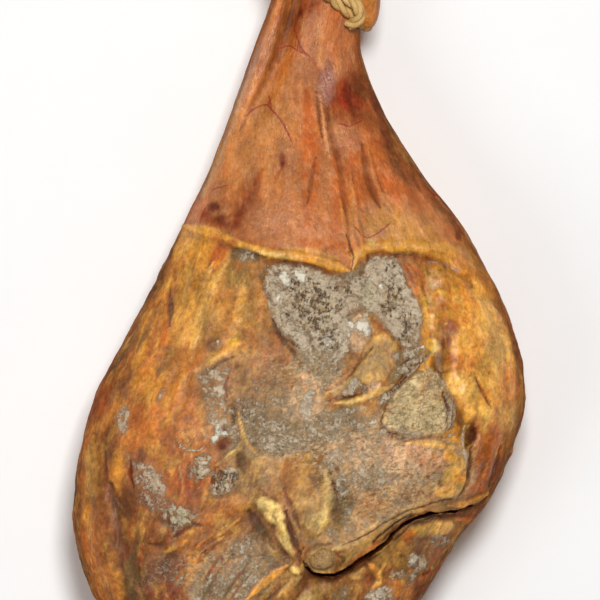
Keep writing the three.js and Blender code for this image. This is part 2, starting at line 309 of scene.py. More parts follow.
def mesh_object(name, points_mm, faces):
    mesh = bpy.data.meshes.new(name)
    mesh.from_pydata((np.asarray(points_mm) * MM).tolist(), [], faces)
    mesh.update()
    piece = bpy.data.objects.new(name, mesh)
    bpy.context.scene.collection.objects.link(piece)
    return piece


def zip_rings(shares_a, shares_b, start_a, start_b):
    """Triangles between two closed rings whose points lie at rising shares of a turn."""
    count_a, count_b = len(shares_a), len(shares_b)
    turn_a, turn_b = [*shares_a[1:], 1.0, 9.0], [*shares_b[1:], 1.0, 9.0]
    faces, i, j = [], 0, 0
    while i < count_a or j < count_b:
        a, b = start_a + i % count_a, start_b + j % count_b
        if turn_a[i] <= turn_b[j]:
            i += 1
            faces.append((a, b, start_a + i % count_a))
        else:
            j += 1
            faces.append((a, b, start_b + j % count_b))
    return faces


def skin_mesh(name, rings, first_tip, last_tip, shares=None):
    """Rings of points joined into a closed skin, with each end drawn together in a point of its own."""
    shares = shares or [np.arange(len(ring)) / len(ring) for ring in rings]
    starts = np.concatenate([[0], np.cumsum([len(ring) for ring in rings])]).astype(int).tolist()
    first, last = starts[-1], starts[-1] + 1
    count = len(rings[0])
    faces = [(first, j, (j + 1) % count) for j in range(count)]
    for i in range(len(rings) - 1):
        faces += zip_rings(list(shares[i]), list(shares[i + 1]), starts[i], starts[i + 1])
    base, count = starts[-2], len(rings[-1])
    faces += [(last, base + (j + 1) % count, base + j) for j in range(count)]
    return mesh_object(name, np.vstack([*rings, first_tip, last_tip]), faces)


def ring_angles(u, step, coarsening):
    """Angles of a ring's points, evenly spaced as seen from above and coarser underneath."""
    fine = np.linspace(0, 2 * math.pi, 721)
    section = leg_points(np.full(len(fine), u), fine, False)
    run = np.abs(np.diff(section, axis=0))
    lengths = (run[:, 0] + 0.5 * run[:, 2]) / np.where(fine[1:] > math.pi, coarsening, 1.0)
    travelled = np.concatenate([[0], np.cumsum(lengths)])
    count = max(24, round(travelled[-1] / step))
    shares = np.arange(count) / count
    return np.interp(shares * travelled[-1], travelled, fine), shares


def leg_mesh(step, coarsening):
    """The leg as a closed skin, finest on the flesh side between the butt and the hock's cut."""
    fine = np.linspace(0.02, LAST, 3000)
    rows = station_rows(fine)
    profile = np.stack([rows[:, 0], (rows[:, 2] - rows[:, 1]) / 2, (rows[:, 4] - rows[:, 3]) / 2], axis=1)
    ends = np.where((rows[1:, 0] < FINE_STRETCH[0]) | (rows[1:, 0] > FINE_STRETCH[1]), 2.0, 1.0)
    travelled = np.concatenate([[0], np.cumsum(np.linalg.norm(np.diff(profile, axis=0), axis=1) / ends)])
    places = np.interp(np.arange(0, travelled[-1], step), travelled, fine)
    angles, shares = zip(*(ring_angles(u, step, coarsening) for u in places))
    counts = [len(angle) for angle in angles]
    points = leg_points(np.repeat(places, counts), np.concatenate(angles))
    rings = np.split(points, np.cumsum(counts)[:-1])
    tip, end = STATIONS[0], STATIONS[-1]
    hock = np.array(((end[1] + end[2]) / 2, end[0] + HOCK_DOME, (end[3] + end[4]) / 2))
    cap = [rings[-1] + (hock - rings[-1]) * share for share in np.linspace(0.08, 0.92, 12)]
    shares = [*shares, *[shares[-1]] * len(cap)]
    return skin_mesh("leg", [*rings, *cap], (tip[1], tip[0], tip[4]), hock, shares)


def lump_mesh(name, lump, rings, sides):
    """A rounded lump; squareness under 1 makes it blunter than an ellipsoid."""
    (cx, cy, cz), half, turn, square = lump
    heights = np.linspace(-math.pi / 2, math.pi / 2, rings + 2)[1:-1]
    swing = np.linspace(0, 2 * math.pi, sides, endpoint=False)
    v, a = np.meshgrid(heights, swing, indexing="ij")
    ball = np.stack([np.cos(v) * np.cos(a), np.cos(v) * np.sin(a), np.sin(v)], axis=-1)
    ball = np.sign(ball) * np.abs(ball) ** square * np.array(half)
    c, s = math.cos(math.radians(turn)), math.sin(math.radians(turn))
    turned = ball @ np.array([[c, s, 0], [-s, c, 0], [0, 0, 1]]) + (cx, cy, cz)
    low, high = (cx, cy, cz - half[2]), (cx, cy, cz + half[2])
    return skin_mesh(name, turned[:, ::-1], low, high)


def even_line(line, steps, blur):
    """A line of points resampled to even steps, with its corners rounded over a length."""
    line = np.array(line, float)
    travelled = np.concatenate([[0], np.cumsum(np.linalg.norm(np.diff(line, axis=0), axis=1))])
    fine = np.linspace(0, travelled[-1], 400)
    width = 2 * round(blur / travelled[-1] * 200) + 1
    columns = []
    for k in range(line.shape[1]):
        padded = np.pad(np.interp(fine, travelled, line[:, k]), width // 2, mode="edge")
        columns.append(np.convolve(padded, np.ones(width) / width, "valid"))
    wanted = (np.arange(steps) + 0.5) / steps * travelled[-1]
    return np.stack([np.interp(wanted, fine, column) for column in columns], axis=1)


def gap_mesh():
    """The blade that cuts the dark gap under the ledge, leaning in below it."""
    steps = 110
    centre = even_line(LEDGE, steps, 10)
    wander = np.stack([np.zeros(steps), np.zeros(steps), np.arange(steps) * 1.4], axis=1)
    tangent = np.gradient(centre, axis=0)
    tangent /= np.linalg.norm(tangent, axis=1)[:, None]
    inward = np.stack([-tangent[:, 1], tangent[:, 0]], axis=1)
    centre = centre + inward * (0.9 * cloud_noise(wander, 7.0, 5))[:, None]
    swell = np.sin(math.pi * (np.arange(steps) + 0.5) / steps) ** 0.5
    narrowing = 1 + (GAP_NARROW - 1) * smooth((np.arange(steps) / steps - 0.55) / 0.2)
    half = GAP_WIDTH / 2 * swell * narrowing * (0.8 + 0.4 * cloud_noise(wander, 9.0, 8))
    rings = []
    for p, n, h, w in zip(centre, inward, half, swell):
        level = top_height(p[0] - 3 * n[0], p[1] - 3 * n[1])
        upright = (BLADE_RISE, 0, -GAP_DEPTH * w)
        corners = [*((1, height) for height in upright), *((-1, height) for height in reversed(upright))]
        shifts = [(side * h + GAP_UNDERCUT * max(0.0, -height), height) for side, height in corners]
        rings.append([(p[0] + shift * n[0], p[1] + shift * n[1], level + height) for shift, height in shifts])
    rings = np.array(rings)
    return skin_mesh("gap", rings, rings[0].mean(0), rings[-1].mean(0))


def cut_and_join(piece, tool, operation):
    """Applies one Boolean to a piece, and takes the tool away."""
    step = piece.modifiers.new("step", "BOOLEAN")
    step.operation, step.solver, step.object = operation, "MANIFOLD", tool
    bpy.context.view_layer.update()
    plain_mesh(piece)
    bpy.data.objects.remove(tool)


def plain_mesh(piece):
    """Puts the result of a piece's modifiers in its mesh, and takes them off."""
    evaluated = piece.evaluated_get(bpy.context.evaluated_depsgraph_get())
    result = bpy.data.meshes.new_from_object(evaluated)
    piece.modifiers.clear()
    if piece.type == "MESH":
        old, piece.data = piece.data, result
        bpy.data.meshes.remove(old)
        return piece
    solid = bpy.data.objects.new(piece.name, result)
    bpy.context.scene.collection.objects.link(solid)
    bpy.data.objects.remove(piece)
    return solid


def vertex_arrays(mesh):
    count = len(mesh.vertices)
    points, normals = np.empty(count * 3), np.empty(count * 3)
    mesh.vertices.foreach_get("co", points)
    mesh.vertices.foreach_get("normal", normals)
    return points.reshape(-1, 3) / MM, normals.reshape(-1, 3)


def neighbour_mean(mesh, values, rounds):
    """Each point's values blurred with its neighbours', some rounds over."""
    edges = np.empty(len(mesh.edges) * 2, int)
    mesh.edges.foreach_get("vertices", edges)
    a, b = edges.reshape(-1, 2).T
    count = len(mesh.vertices)
    degree = (np.bincount(a, minlength=count) + np.bincount(b, minlength=count))[:, None]
    for _ in range(rounds):
        around = [np.bincount(a, column[b], count) + np.bincount(b, column[a], count) for column in values.T]
        values = 0.4 * values + 0.6 * np.stack(around, axis=1) / degree
    return values


# What the skin is made of

def to_linear(colour):
    c = np.asarray(colour, float) / 255.0
    return np.where(c <= 0.04045, c / 12.92, ((c + 0.055) / 1.055) ** 2.4)


def bare(red, green, blue, grease=0.5, haze=0.0, crackle=0.0):
    """Rind, fat or flesh: its colour (sRGB, 0 to 255), its grease and the haze of mould on it."""
    return {"tint": to_linear((red, green, blue)), "grease": grease, "mould": haze, "bloom": 0.0, "pits": 0.0,
            "crumbs": 0.0, "crackle": crackle}


def mouldy(red, green, blue):
    return {"cover": to_linear((red, green, blue)), "mould": 0.80}


STUFFS = {
    "rind": bare(186, 104, 42, 0.7),
    "rind tan": bare(194, 119, 50, 0.75),
    # Rind pink: the rind's own pink, also laid as painted highlight on the shank's glossy ridges.
    "rind pink and sheen": bare(198, 124, 74, 1.0),
    "rind amber": bare(186, 88, 24, 0.5),
    # Rind brown and rind dark: the rind's own browns, also laid as painted shade on the steep flanks, along
    # the edges, in a crease and round the ledge's gap.
    "rind brown and shade": bare(122, 62, 28, 0.3),
    "rind dark and shade": bare(80, 36, 18, 0.6),
    "bruise red": bare(128, 32, 8, 0.3),
    "bruise grey": bare(150, 98, 80, 0.9),
    "blood": bare(104, 12, 12, 0.4),
    "cut fat": bare(214, 148, 48, 0.8),
    "fat": bare(222, 148, 48, 0.7),
    "fat orange": bare(190, 94, 24, 0.7),
    "fat pale": bare(222, 164, 76, 0.8),
    # Fat bright: the fat's bright yellow, also laid as painted highlight on the fat lobe.
    "fat bright and highlight": bare(228, 178, 60, 0.8),
    "tallow": bare(224, 190, 112, 0.6),
    "flesh": bare(154, 102, 46, 0.45, 0.14),
    "flesh orange": bare(186, 110, 46, 0.55, 0.05),
    "flesh brown": bare(118, 66, 30, 0.5, 0.03),
    "flesh red": bare(138, 56, 24, 0.5, 0.05),
    "flesh tan": bare(192, 150, 102, 0.3, 0.36),
    "flesh pink": bare(206, 164, 122, 0.3, 0.34),
    "flesh grey": bare(158, 130, 96, 0.3, 0.50),
    "mauve": bare(124, 80, 58, 0.45, 0.2),
    "olive": bare(106, 80, 42, 0.5, 0.10),
    # Olive grey: an olive haze of mould, also laid as painted shadow in a hollow of the meat.
    "olive grey and shade": bare(122, 98, 60, 0.3, 0.50),
    "ochre": bare(186, 142, 74, 0.6, 0.10),
    "crust": bare(184, 161, 118, 0.3, 0.16, 1.0),
    "bone": bare(178, 140, 86, 0.4, 0.10),
    "lobe": bare(184, 110, 36, 0.6),
    "dark": bare(34, 18, 10, 0.3),
    "maroon": bare(58, 14, 10, 0.2),
    "mould": mouldy(185, 167, 141),
    "mould pale": mouldy(212, 196, 170),
    "mould green": mouldy(176, 166, 132),
    "mould grey": mouldy(128, 106, 88),
    "bloom": {"mould": 0.95, "bloom": 0.9},
    "specks": {"pits": 1.0},
    "crackle": {"crackle": 1.0},
    "crumbs": {"crumbs": 1.0},
}
for uneven in ("bruise red", "rind brown and shade", "rind dark and shade", "blood"):
    STUFFS[uneven]["calm"] = 0.15


def spot(x, y, rx, ry, stuff, turn, share, height=0.0, soft=0.35, ragged=0.35):
    """A patch of a stuff: middle and half-sizes in the photograph's pixels, and a height in mm."""
    return {"at": (x, y), "size": (rx, ry), "turn": turn, "stuff": stuff, "share": share, "height": height,
            "soft": soft, "ragged": ragged}


def line(points, half_width, stuff, share, height=0.0, soft=0.5, ragged=0.3):
    """A stroke of a stuff along a line of the photograph's pixels, tapering at its ends."""
    return {"line": points, "width": half_width, "stuff": stuff, "share": share, "height": height,
            "soft": soft, "ragged": ragged}


def patch(outline, stuff, share, height=0.0, *, soft, ragged):
    """A patch of a stuff inside an outline of the photograph's pixels."""
    return {"outline": outline, "stuff": stuff, "share": share, "height": height, "soft": soft,
            "ragged": ragged}


def strands(first, last, count, half_width, stuffs, height, seed):
    """Fibres side by side between a first and a last line of the photograph's pixels."""
    draw = np.random.default_rng(seed)
    first, last = np.array(first, float), np.array(last, float)
    fibres = []
    for k in range(count):
        share = (k + 0.5) / count
        points = first + (last - first) * share + draw.normal(0, 1.6, first.shape)
        start, stop = sorted(draw.uniform(0, 1, 2))
        stop = max(stop, start + 0.45)
        lengths = np.linspace(start * 0.6, min(1.0, stop), len(points)) * (len(points) - 1)
        drawn = np.stack([np.interp(lengths, range(len(points)), points[:, c]) for c in (0, 1)], axis=1)
        fibres.append(line(tuple(map(tuple, drawn)), half_width * draw.uniform(0.6, 1.3),
                           stuffs[k % len(stuffs)], draw.uniform(0.5, 1.0), height * draw.uniform(0.3, 1.0),
                           ragged=0.5))
    return tuple(fibres)


def scatter(x, y, rx, ry, count, size, stuffs, height, seed):
    """Crumbs and flecks strewn over an oval of the photograph's pixels."""
    draw = np.random.default_rng(seed)
    crumbs = []
    for k in range(count):
        swing, out = draw.uniform(0, 2 * math.pi), math.sqrt(draw.uniform())
        breadth = size * draw.uniform(0.5, 1.4)
        crumbs.append(spot(x + rx * out * math.cos(swing), y + ry * out * math.sin(swing), breadth,
                           breadth * draw.uniform(0.5, 1.1), stuffs[k % len(stuffs)], draw.uniform(0, 180),
                           draw.uniform(0.5, 1.0), height * draw.uniform(-0.4, 1.0), 0.4, 0.6))
    return tuple(crumbs)


# The small features of the skin, region by region, in the order in which they are laid

SHANK = (
    spot(300, 130, 70, 150, "rind tan", 0, 0.6, soft=0.6),
    spot(262, 130, 28, 60, "rind tan", 25, 0.9),
    spot(300, 60, 26, 50, "rind amber", 10, 0.35, soft=0.8),
    spot(340, 40, 22, 44, "rind amber", 0, 0.4, soft=0.8),
    spot(312, 40, 12, 40, "rind pink and sheen", 0, 0.5, soft=0.9),
    line(((322, 40), (320, 70), (322, 96)), 8, "rind tan", 0.7, soft=0.8),
    line(((306, 92), (311, 130), (311, 180), (306, 235)), 9, "rind amber", 0.9, soft=0.7),
    line(((335, 150), (340, 190), (334, 236)), 9, "rind amber", 0.85, soft=0.7),
    spot(375, 165, 30, 46, "rind amber", -25, 0.85, soft=0.7),
    spot(408, 226, 34, 16, "rind tan", 22, 0.8, soft=0.7),
    spot(352, 98, 30, 24, "bruise red", -8, 0.95, soft=0.6, ragged=0.25),
    spot(366, 86, 14, 16, "rind brown and shade", 0, 0.9, soft=0.6),
    spot(352, 118, 24, 9, "rind brown and shade", 10, 0.6, soft=0.7),
    # Brown on the shank's right side: partly the rind's brown, partly painted shade where it turns from the
    # light.
    line(((362, 110), (384, 140), (402, 166), (420, 188)), 12, "rind brown and shade", 0.8, soft=0.8),
    spot(402, 162, 12, 26, "rind brown and shade", -35, 0.8, soft=0.9, ragged=0.3),
    line(((364, 58), (380, 98), (400, 138), (428, 182), (452, 212), (476, 244)), 8, "rind brown and shade", 0.85,
         soft=0.8),
    spot(326, 82, 9, 20, "bruise grey", 5, 0.8, soft=0.6),
    # Painted highlight: a pink glint on the shank.
    spot(345, 140, 16, 12, "rind pink and sheen", 0, 0.6, soft=0.8),
    spot(392, 230, 36, 18, "fat pale", 8, 0.5, soft=0.9, ragged=0.5),
    line(((378, 194), (398, 201), (412, 213), (421, 232)), 4, "rind pink and sheen", 0.4, 0.5, soft=0.9),
    line(((355, 170), (358, 200), (364, 224)), 5, "rind amber", 0.6, 0.8),
    # Painted highlight along a fold of the shank.
    line(((320, 95), (323, 120), (326, 142), (330, 158)), 1.6, "rind pink and sheen", 0.9, 0.9),
    line(((316, 158), (311, 180), (308, 204)), 2.6, "rind brown and shade", 0.45, -0.7),
    line(((350, 176), (353, 205), (358, 232), (362, 250)), 3.0, "rind tan", 0.8, 1.3),
    line(((316, 92), (319, 118), (322, 140)), 1.7, "rind brown and shade", 0.5, -0.7),
    line(((328, 108), (330, 130), (336, 150), (340, 172), (344, 200), (345, 228), (350, 256)), 3.0,
         "rind brown and shade", 0.55, -0.9, soft=0.9),
    line(((362, 144), (366, 174), (372, 194), (380, 208)), 3.2, "rind brown and shade", 0.5, -0.8, soft=0.9),
    line(((368, 150), (373, 176), (380, 196), (392, 210)), 2.2, "rind tan", 0.6, 0.8),
    line(((340, 200), (344, 226), (348, 250)), 2.6, "rind tan", 0.7, 1.2),
    # These pink spots: the rind's pink with painted highlight on the glossy lower shank.
    spot(280, 218, 26, 17, "rind pink and sheen", 10, 0.5, soft=0.7, ragged=0.6),
    spot(322, 226, 22, 14, "rind amber", 0, 0.4, soft=0.7, ragged=0.7),
    spot(296, 226, 44, 18, "rind pink and sheen", 4, 0.35, soft=0.8, ragged=0.8),
    spot(322, 244, 24, 5, "rind amber", 3, 0.6),
    line(((286, 128), (291, 160), (288, 196), (282, 230)), 5, "rind pink and sheen", 0.35),
    # The heel tendon: the rind's pink with a painted highlight along its ridge.
    line(((279, 18), (265, 49), (258, 67), (246, 93), (238, 112)), 7.0, "rind pink and sheen", 0.95, 0.4, soft=0.8),
    line(((283, 8), (275, 32)), 4, "bruise red", 0.4, soft=0.8),
    line(((268, 52), (262, 64), (258, 74)), 3, "bruise red", 0.45, soft=0.8),
    line(((244, 84), (228, 118), (214, 158), (203, 196)), 7, "fat pale", 0.55, soft=0.9),
    line(((263, 20), (252, 50), (243, 80), (232, 112), (218, 150), (205, 186)), 3.5, "rind brown and shade", 0.3,
         soft=0.8),
    line(((293, 0), (291, 20), (281, 42), (267, 79), (249, 111), (240, 130)), 3.0, "rind brown and shade", 0.5, -0.4,
         soft=0.8),
    line(((288, 2), (285, 30)), 4.0, "rind brown and shade", 0.6),
    spot(300, 14, 3.4, 6, "blood", 18, 0.95, soft=0.6),
    spot(309, 6, 11, 10, "bruise red", 0, 0.75, soft=0.8),
    line(((296, 16), (297, 30), (300, 44)), 4.0, "bruise red", 0.45, soft=0.9),
    line(((312, 58), (318, 70), (320, 84)), 4.0, "bruise red", 0.4, soft=0.9),
    spot(282.5, 163, 3.2, 9, "blood", -5, 1.0, soft=0.8, ragged=0.4),
    line(((282, 168), (277, 176), (275, 184)), 2.4, "bruise red", 0.6),
    line(((262, 170), (252, 190), (243, 208), (236, 228)), 7.5, "bruise red", 0.6, soft=1.0, ragged=1.0),
    line(((250, 196), (240, 214), (230, 232)), 4.0, "blood", 0.5, soft=1.0, ragged=1.0),
    spot(214, 207, 6, 5, "blood", 0, 0.85, ragged=0.8, soft=0.5),
    spot(221, 218, 8, 6, "blood", -20, 0.85, ragged=0.8, soft=0.5),
    spot(226, 226, 14, 6, "bruise red", 10, 0.7, ragged=0.6, soft=0.7),
    spot(206, 216, 5, 5, "bruise red", 0, 0.7, soft=0.8),
    spot(458, 236, 3, 5, "bruise red", 0, 0.95),
    line(((430, 192), (440, 198), (452, 202)), 3.0, "bruise red", 0.5, soft=0.8),
)

COLLAR = (
    line(((182, 226), (199, 229), (219, 234), (233, 242), (249, 248), (272, 254), (297, 257), (321, 262),
          (336, 266), (349, 272)), 4.0, "cut fat", 1.0, 0.7, soft=0.35, ragged=0.4),
    line(((284, 249), (312, 253), (338, 259)), 4.0, "cut fat", 0.85, soft=0.5),
    line(((246, 250), (262, 253), (284, 257), (306, 260)), 1.4, "tallow", 0.7, 0.3, ragged=0.6),
    line(((352, 268), (354, 256), (366, 249), (384, 246), (404, 247), (424, 247), (446, 248), (462, 255),
          (475, 266), (486, 282), (493, 296)), 4.6, "cut fat", 0.95, 0.7, soft=0.5),
    line(((376, 242), (400, 241), (430, 241), (452, 246)), 5.0, "cut fat", 0.5, soft=0.9),
    spot(371, 243, 4, 4, "tallow", 0, 0.7, ragged=0.6),
    line(((398, 256), (420, 258), (440, 264), (456, 273), (474, 287), (490, 301), (500, 311)), 2.8,
         "fat orange", 0.6, -0.6, soft=0.8),
    line(((366, 255), (382, 254), (398, 257)), 2.6, "flesh orange", 0.7, -0.6),
    line(((276, 262), (290, 263), (306, 265), (326, 271), (346, 279)), 2.6, "flesh orange", 0.8, -0.5),
    line(((236, 248), (252, 253), (268, 258)), 2.0, "olive", 0.7, -0.5),
)

FLANKS = (
    # Brown and dark bands along the right edge: painted shade where the flank turns from the light.
    line(((443, 200), (462, 226), (478, 250), (490, 268), (501, 300), (512, 322), (519, 350), (523, 385),
          (525, 420)), 7.5, "rind brown and shade", 1.0, soft=0.6, ragged=0.15),
    line(((504, 316), (515, 340), (521, 370), (523, 410)), 4, "rind dark and shade", 0.9, soft=0.7),
    line(((175, 240), (164, 266), (150, 300), (134, 338), (112, 372)), 6, "olive grey and shade", 0.8, soft=0.8),
    spot(194, 246, 22, 14, "cut fat", 10, 0.85),
    spot(196, 290, 28, 50, "fat", 22, 0.75, soft=0.5),
    spot(196, 330, 30, 30, "ochre", 22, 0.5, soft=0.7),
    line(((236, 240), (222, 252), (212, 264), (204, 282)), 7, "fat orange", 0.75, soft=0.8, ragged=0.7),
    line(((222, 244), (218, 252), (211, 264)), 4, "flesh red", 0.6, soft=0.8, ragged=0.8),
    line(((226, 264), (215, 280), (206, 302), (198, 330), (190, 352)), 4.2, "fat pale", 0.85, 0.5),
    line(((214, 262), (206, 280), (198, 300)), 3.0, "fat pale", 0.75, 0.4),
    line(((186, 256), (190, 280), (184, 306)), 3.4, "fat pale", 0.6, 0.3),
    line(((176, 270), (172, 296), (166, 330), (156, 356)), 4.0, "fat orange", 0.7, -0.5),
    line(((170, 288), (171, 306), (170, 326)), 3.0, "mauve", 0.85, -0.5),
    line(((152, 300), (148, 326), (140, 356), (132, 384)), 5, "fat", 0.8, 0.5),
    line(((160, 300), (148, 330), (138, 352)), 3, "olive grey and shade", 0.6, -0.4),
    line(((160, 320), (156, 346), (150, 372)), 5, "flesh orange", 0.8),
    spot(236, 274, 14, 26, "olive", 16, 0.85, soft=0.8, ragged=0.5),
    spot(246, 256, 14, 7, "olive grey and shade", 12, 0.85),
    line(((244, 290), (240, 312), (236, 336)), 9, "fat", 0.8, soft=0.7),
    line(((256, 272), (258, 300), (262, 322), (264, 344)), 6, "flesh brown", 0.85, ragged=0.8),
    line(((262, 290), (264, 322), (268, 340)), 2.4, "mauve", 0.8),
    spot(239, 344, 10, 9, "fat bright and highlight", -10, 0.8, height=0.7, soft=0.6),
    line(((197, 371), (208, 363), (220, 355), (232, 349), (243, 343)), 4.0, "fat", 0.8, 0.6, soft=0.8,
         ragged=0.6),
    line(((200, 368), (212, 360), (226, 352)), 2.0, "fat bright and highlight", 0.6, 0.3, soft=0.8, ragged=0.6),
    line(((208, 374), (220, 362), (234, 356)), 2.2, "mauve", 0.8, -0.9),
    spot(214, 345, 9, 7, "mauve", -20, 0.65, ragged=0.7),
    spot(219, 343, 2.4, 3, "mould pale", 0, 0.95),
    spot(186, 366, 26, 20, "flesh orange", 20, 0.6),
    spot(165, 362, 10, 14, "mauve", 20, 0.65, ragged=0.8, soft=0.5),
    line(((159, 402), (163, 393), (167, 386)), 2.6, "bloom", 0.95, 0.4, soft=0.35, ragged=0.2),
    spot(123, 388, 8, 12, "mauve", 10, 0.75, ragged=0.8, soft=0.5),
    spot(105, 392, 12, 22, "fat orange", 15, 0.85),
    spot(134, 406, 13, 26, "flesh brown", 10, 0.5, soft=0.9),
    spot(176, 410, 26, 30, "flesh orange", 0, 0.75),
    spot(94, 412, 8, 16, "flesh red", 12, 0.6),
    spot(125, 419, 6.5, 11, "mould", 12, 1.0, height=0.3, ragged=0.8, soft=0.9),
    spot(112, 440, 9, 22, "flesh brown", 5, 0.7),
    spot(120, 458, 5, 16, "fat", 0, 0.8),
    line(((95, 436), (93, 460), (95, 484), (98, 502)), 5.5, "ochre", 0.6, 1.4),
    line(((106, 450), (107, 480), (110, 500)), 3.0, "fat orange", 0.8, -1.0),
    # A dark band along the left edge: painted shade where the flank turns from the light.
    line(((82, 440), (78, 480), (78, 510), (80, 545), (90, 580)), 3.6, "rind dark and shade", 0.7, soft=0.8),
    line(((100, 500), (100, 530), (106, 560), (112, 600), (126, 640)), 8, "flesh orange", 0.8, 1.0),
    line(((84, 520), (90, 556), (98, 590)), 5, "fat orange", 0.7),
    line(((104, 512), (108, 526)), 4, "fat orange", 0.8, -0.8),
    # A crease on the left: a real hollow with painted shade in it.
    line(((112, 482), (116, 500), (119, 531), (126, 556), (129, 600), (134, 640)), 5.5, "rind dark and shade", 0.8,
         -1.8, soft=0.9, ragged=0.6),
    line(((110, 486), (118, 512), (123, 540)), 3.0, "rind dark and shade", 0.6, -0.6, soft=0.9),
    line(((126, 560), (130, 590), (136, 630)), 4.0, "olive", 0.6, soft=0.9),
    line(((116, 497), (121, 503), (128, 513), (134, 524)), 1.8, "mould pale", 1.0, 0.4),
    spot(130, 500, 9, 22, "flesh brown", -20, 0.8),
    spot(128, 508, 6, 14, "rind dark and shade", -30, 0.6),
    line(((136, 512), (132, 530), (138, 548)), 4, "fat orange", 0.75, 0.4),
)

FAT_LOBE = (
    spot(462, 330, 48, 84, "fat", 8, 0.95, soft=0.3),
    spot(490, 392, 36, 66, "fat", 6, 0.9),
    spot(480, 356, 24, 40, "fat pale", -8, 0.5, soft=0.9),
    spot(446, 290, 30, 18, "fat orange", 20, 0.35, soft=0.9, ragged=0.9),
    spot(430, 279, 12, 9, "fat pale", 0, 0.8, height=0.6),
    spot(424, 312, 8, 18, "fat pale", -10, 0.85, height=0.5),
    line(((408, 262), (420, 276), (424, 296)), 3.4, "fat orange", 0.7, -0.5),
    spot(470, 276, 16, 8, "fat orange", 35, 0.4, soft=0.9, ragged=0.9),
    line(((452, 302), (470, 322), (476, 350), (468, 372)), 8, "fat orange", 0.4, soft=0.8, ragged=0.8),
    spot(492, 336, 14, 34, "fat pale", -12, 0.85, height=0.6, soft=0.5),
    spot(494, 372, 14, 24, "fat pale", 0, 0.75, height=0.5, soft=0.5),
    spot(440, 330, 11, 9, "flesh red", -25, 0.6, ragged=1.2, soft=0.9),
    spot(452, 328, 9, 6, "flesh red", 0, 0.7, ragged=0.9, soft=0.5),
    spot(442, 342, 8, 6, "flesh red", 0, 0.75, ragged=0.9),
    spot(429, 346, 9, 7, "fat bright and highlight", 0, 1.0, height=0.8),
    spot(437, 361, 7, 6, "olive", -30, 0.6),
    spot(445, 356, 7, 6, "flesh red", 0, 0.5, ragged=1.0, soft=0.9),
    spot(458, 362, 12, 8, "fat orange", 0, 0.6, ragged=0.7),
    line(((440, 371), (450, 370), (462, 366)), 2.4, "fat orange", 0.5, -0.4, soft=0.9),
    spot(460, 386, 20, 13, "fat pale", 35, 0.9, height=0.6),
    line(((474, 376), (482, 392), (490, 408)), 2.0, "fat orange", 0.8, -0.9),
    spot(508, 386, 9, 18, "fat orange", 0, 0.85, soft=0.7),
    spot(500, 418, 20, 16, "fat pale", 30, 0.7),
    spot(480, 416, 18, 12, "fat pale", 40, 0.8, height=0.8),
    line(((398, 258), (408, 273), (414, 289), (417, 304)), 4.2, "flesh orange", 0.95, 0.3),
    line(((402, 262), (410, 276), (414, 290)), 2.0, "flesh red", 0.7),
    spot(508, 452, 14, 22, "rind brown and shade", 35, 0.6, soft=0.7),
    spot(488, 454, 13, 36, "fat orange", 12, 0.85, ragged=0.7),
    line(((478, 436), (476, 462), (470, 486), (462, 500)), 4.0, "fat orange", 0.7, 0.6, soft=0.8),
    line(((490, 446), (486, 470), (480, 490)), 3.6, "fat orange", 0.85, 0.8),
    line(((500, 444), (494, 468), (488, 486)), 2.4, "rind dark and shade", 0.7, -0.8),
    spot(483, 448, 4, 4, "fat orange", 0, 0.8),
    spot(492, 496, 8, 12, "rind dark and shade", 30, 0.3),
    # Over the lobe's top, the bright and pale flecks are painted highlights among orange flecks of the fat's
    # own colour.
    *scatter(448, 300, 26, 26, 26, 2.4, ("fat bright and highlight", "fat pale", "fat orange"), 0.5, 5),
    *scatter(476, 352, 26, 40, 14, 1.8, ("fat orange", "fat pale"), 0.3, 6),
)

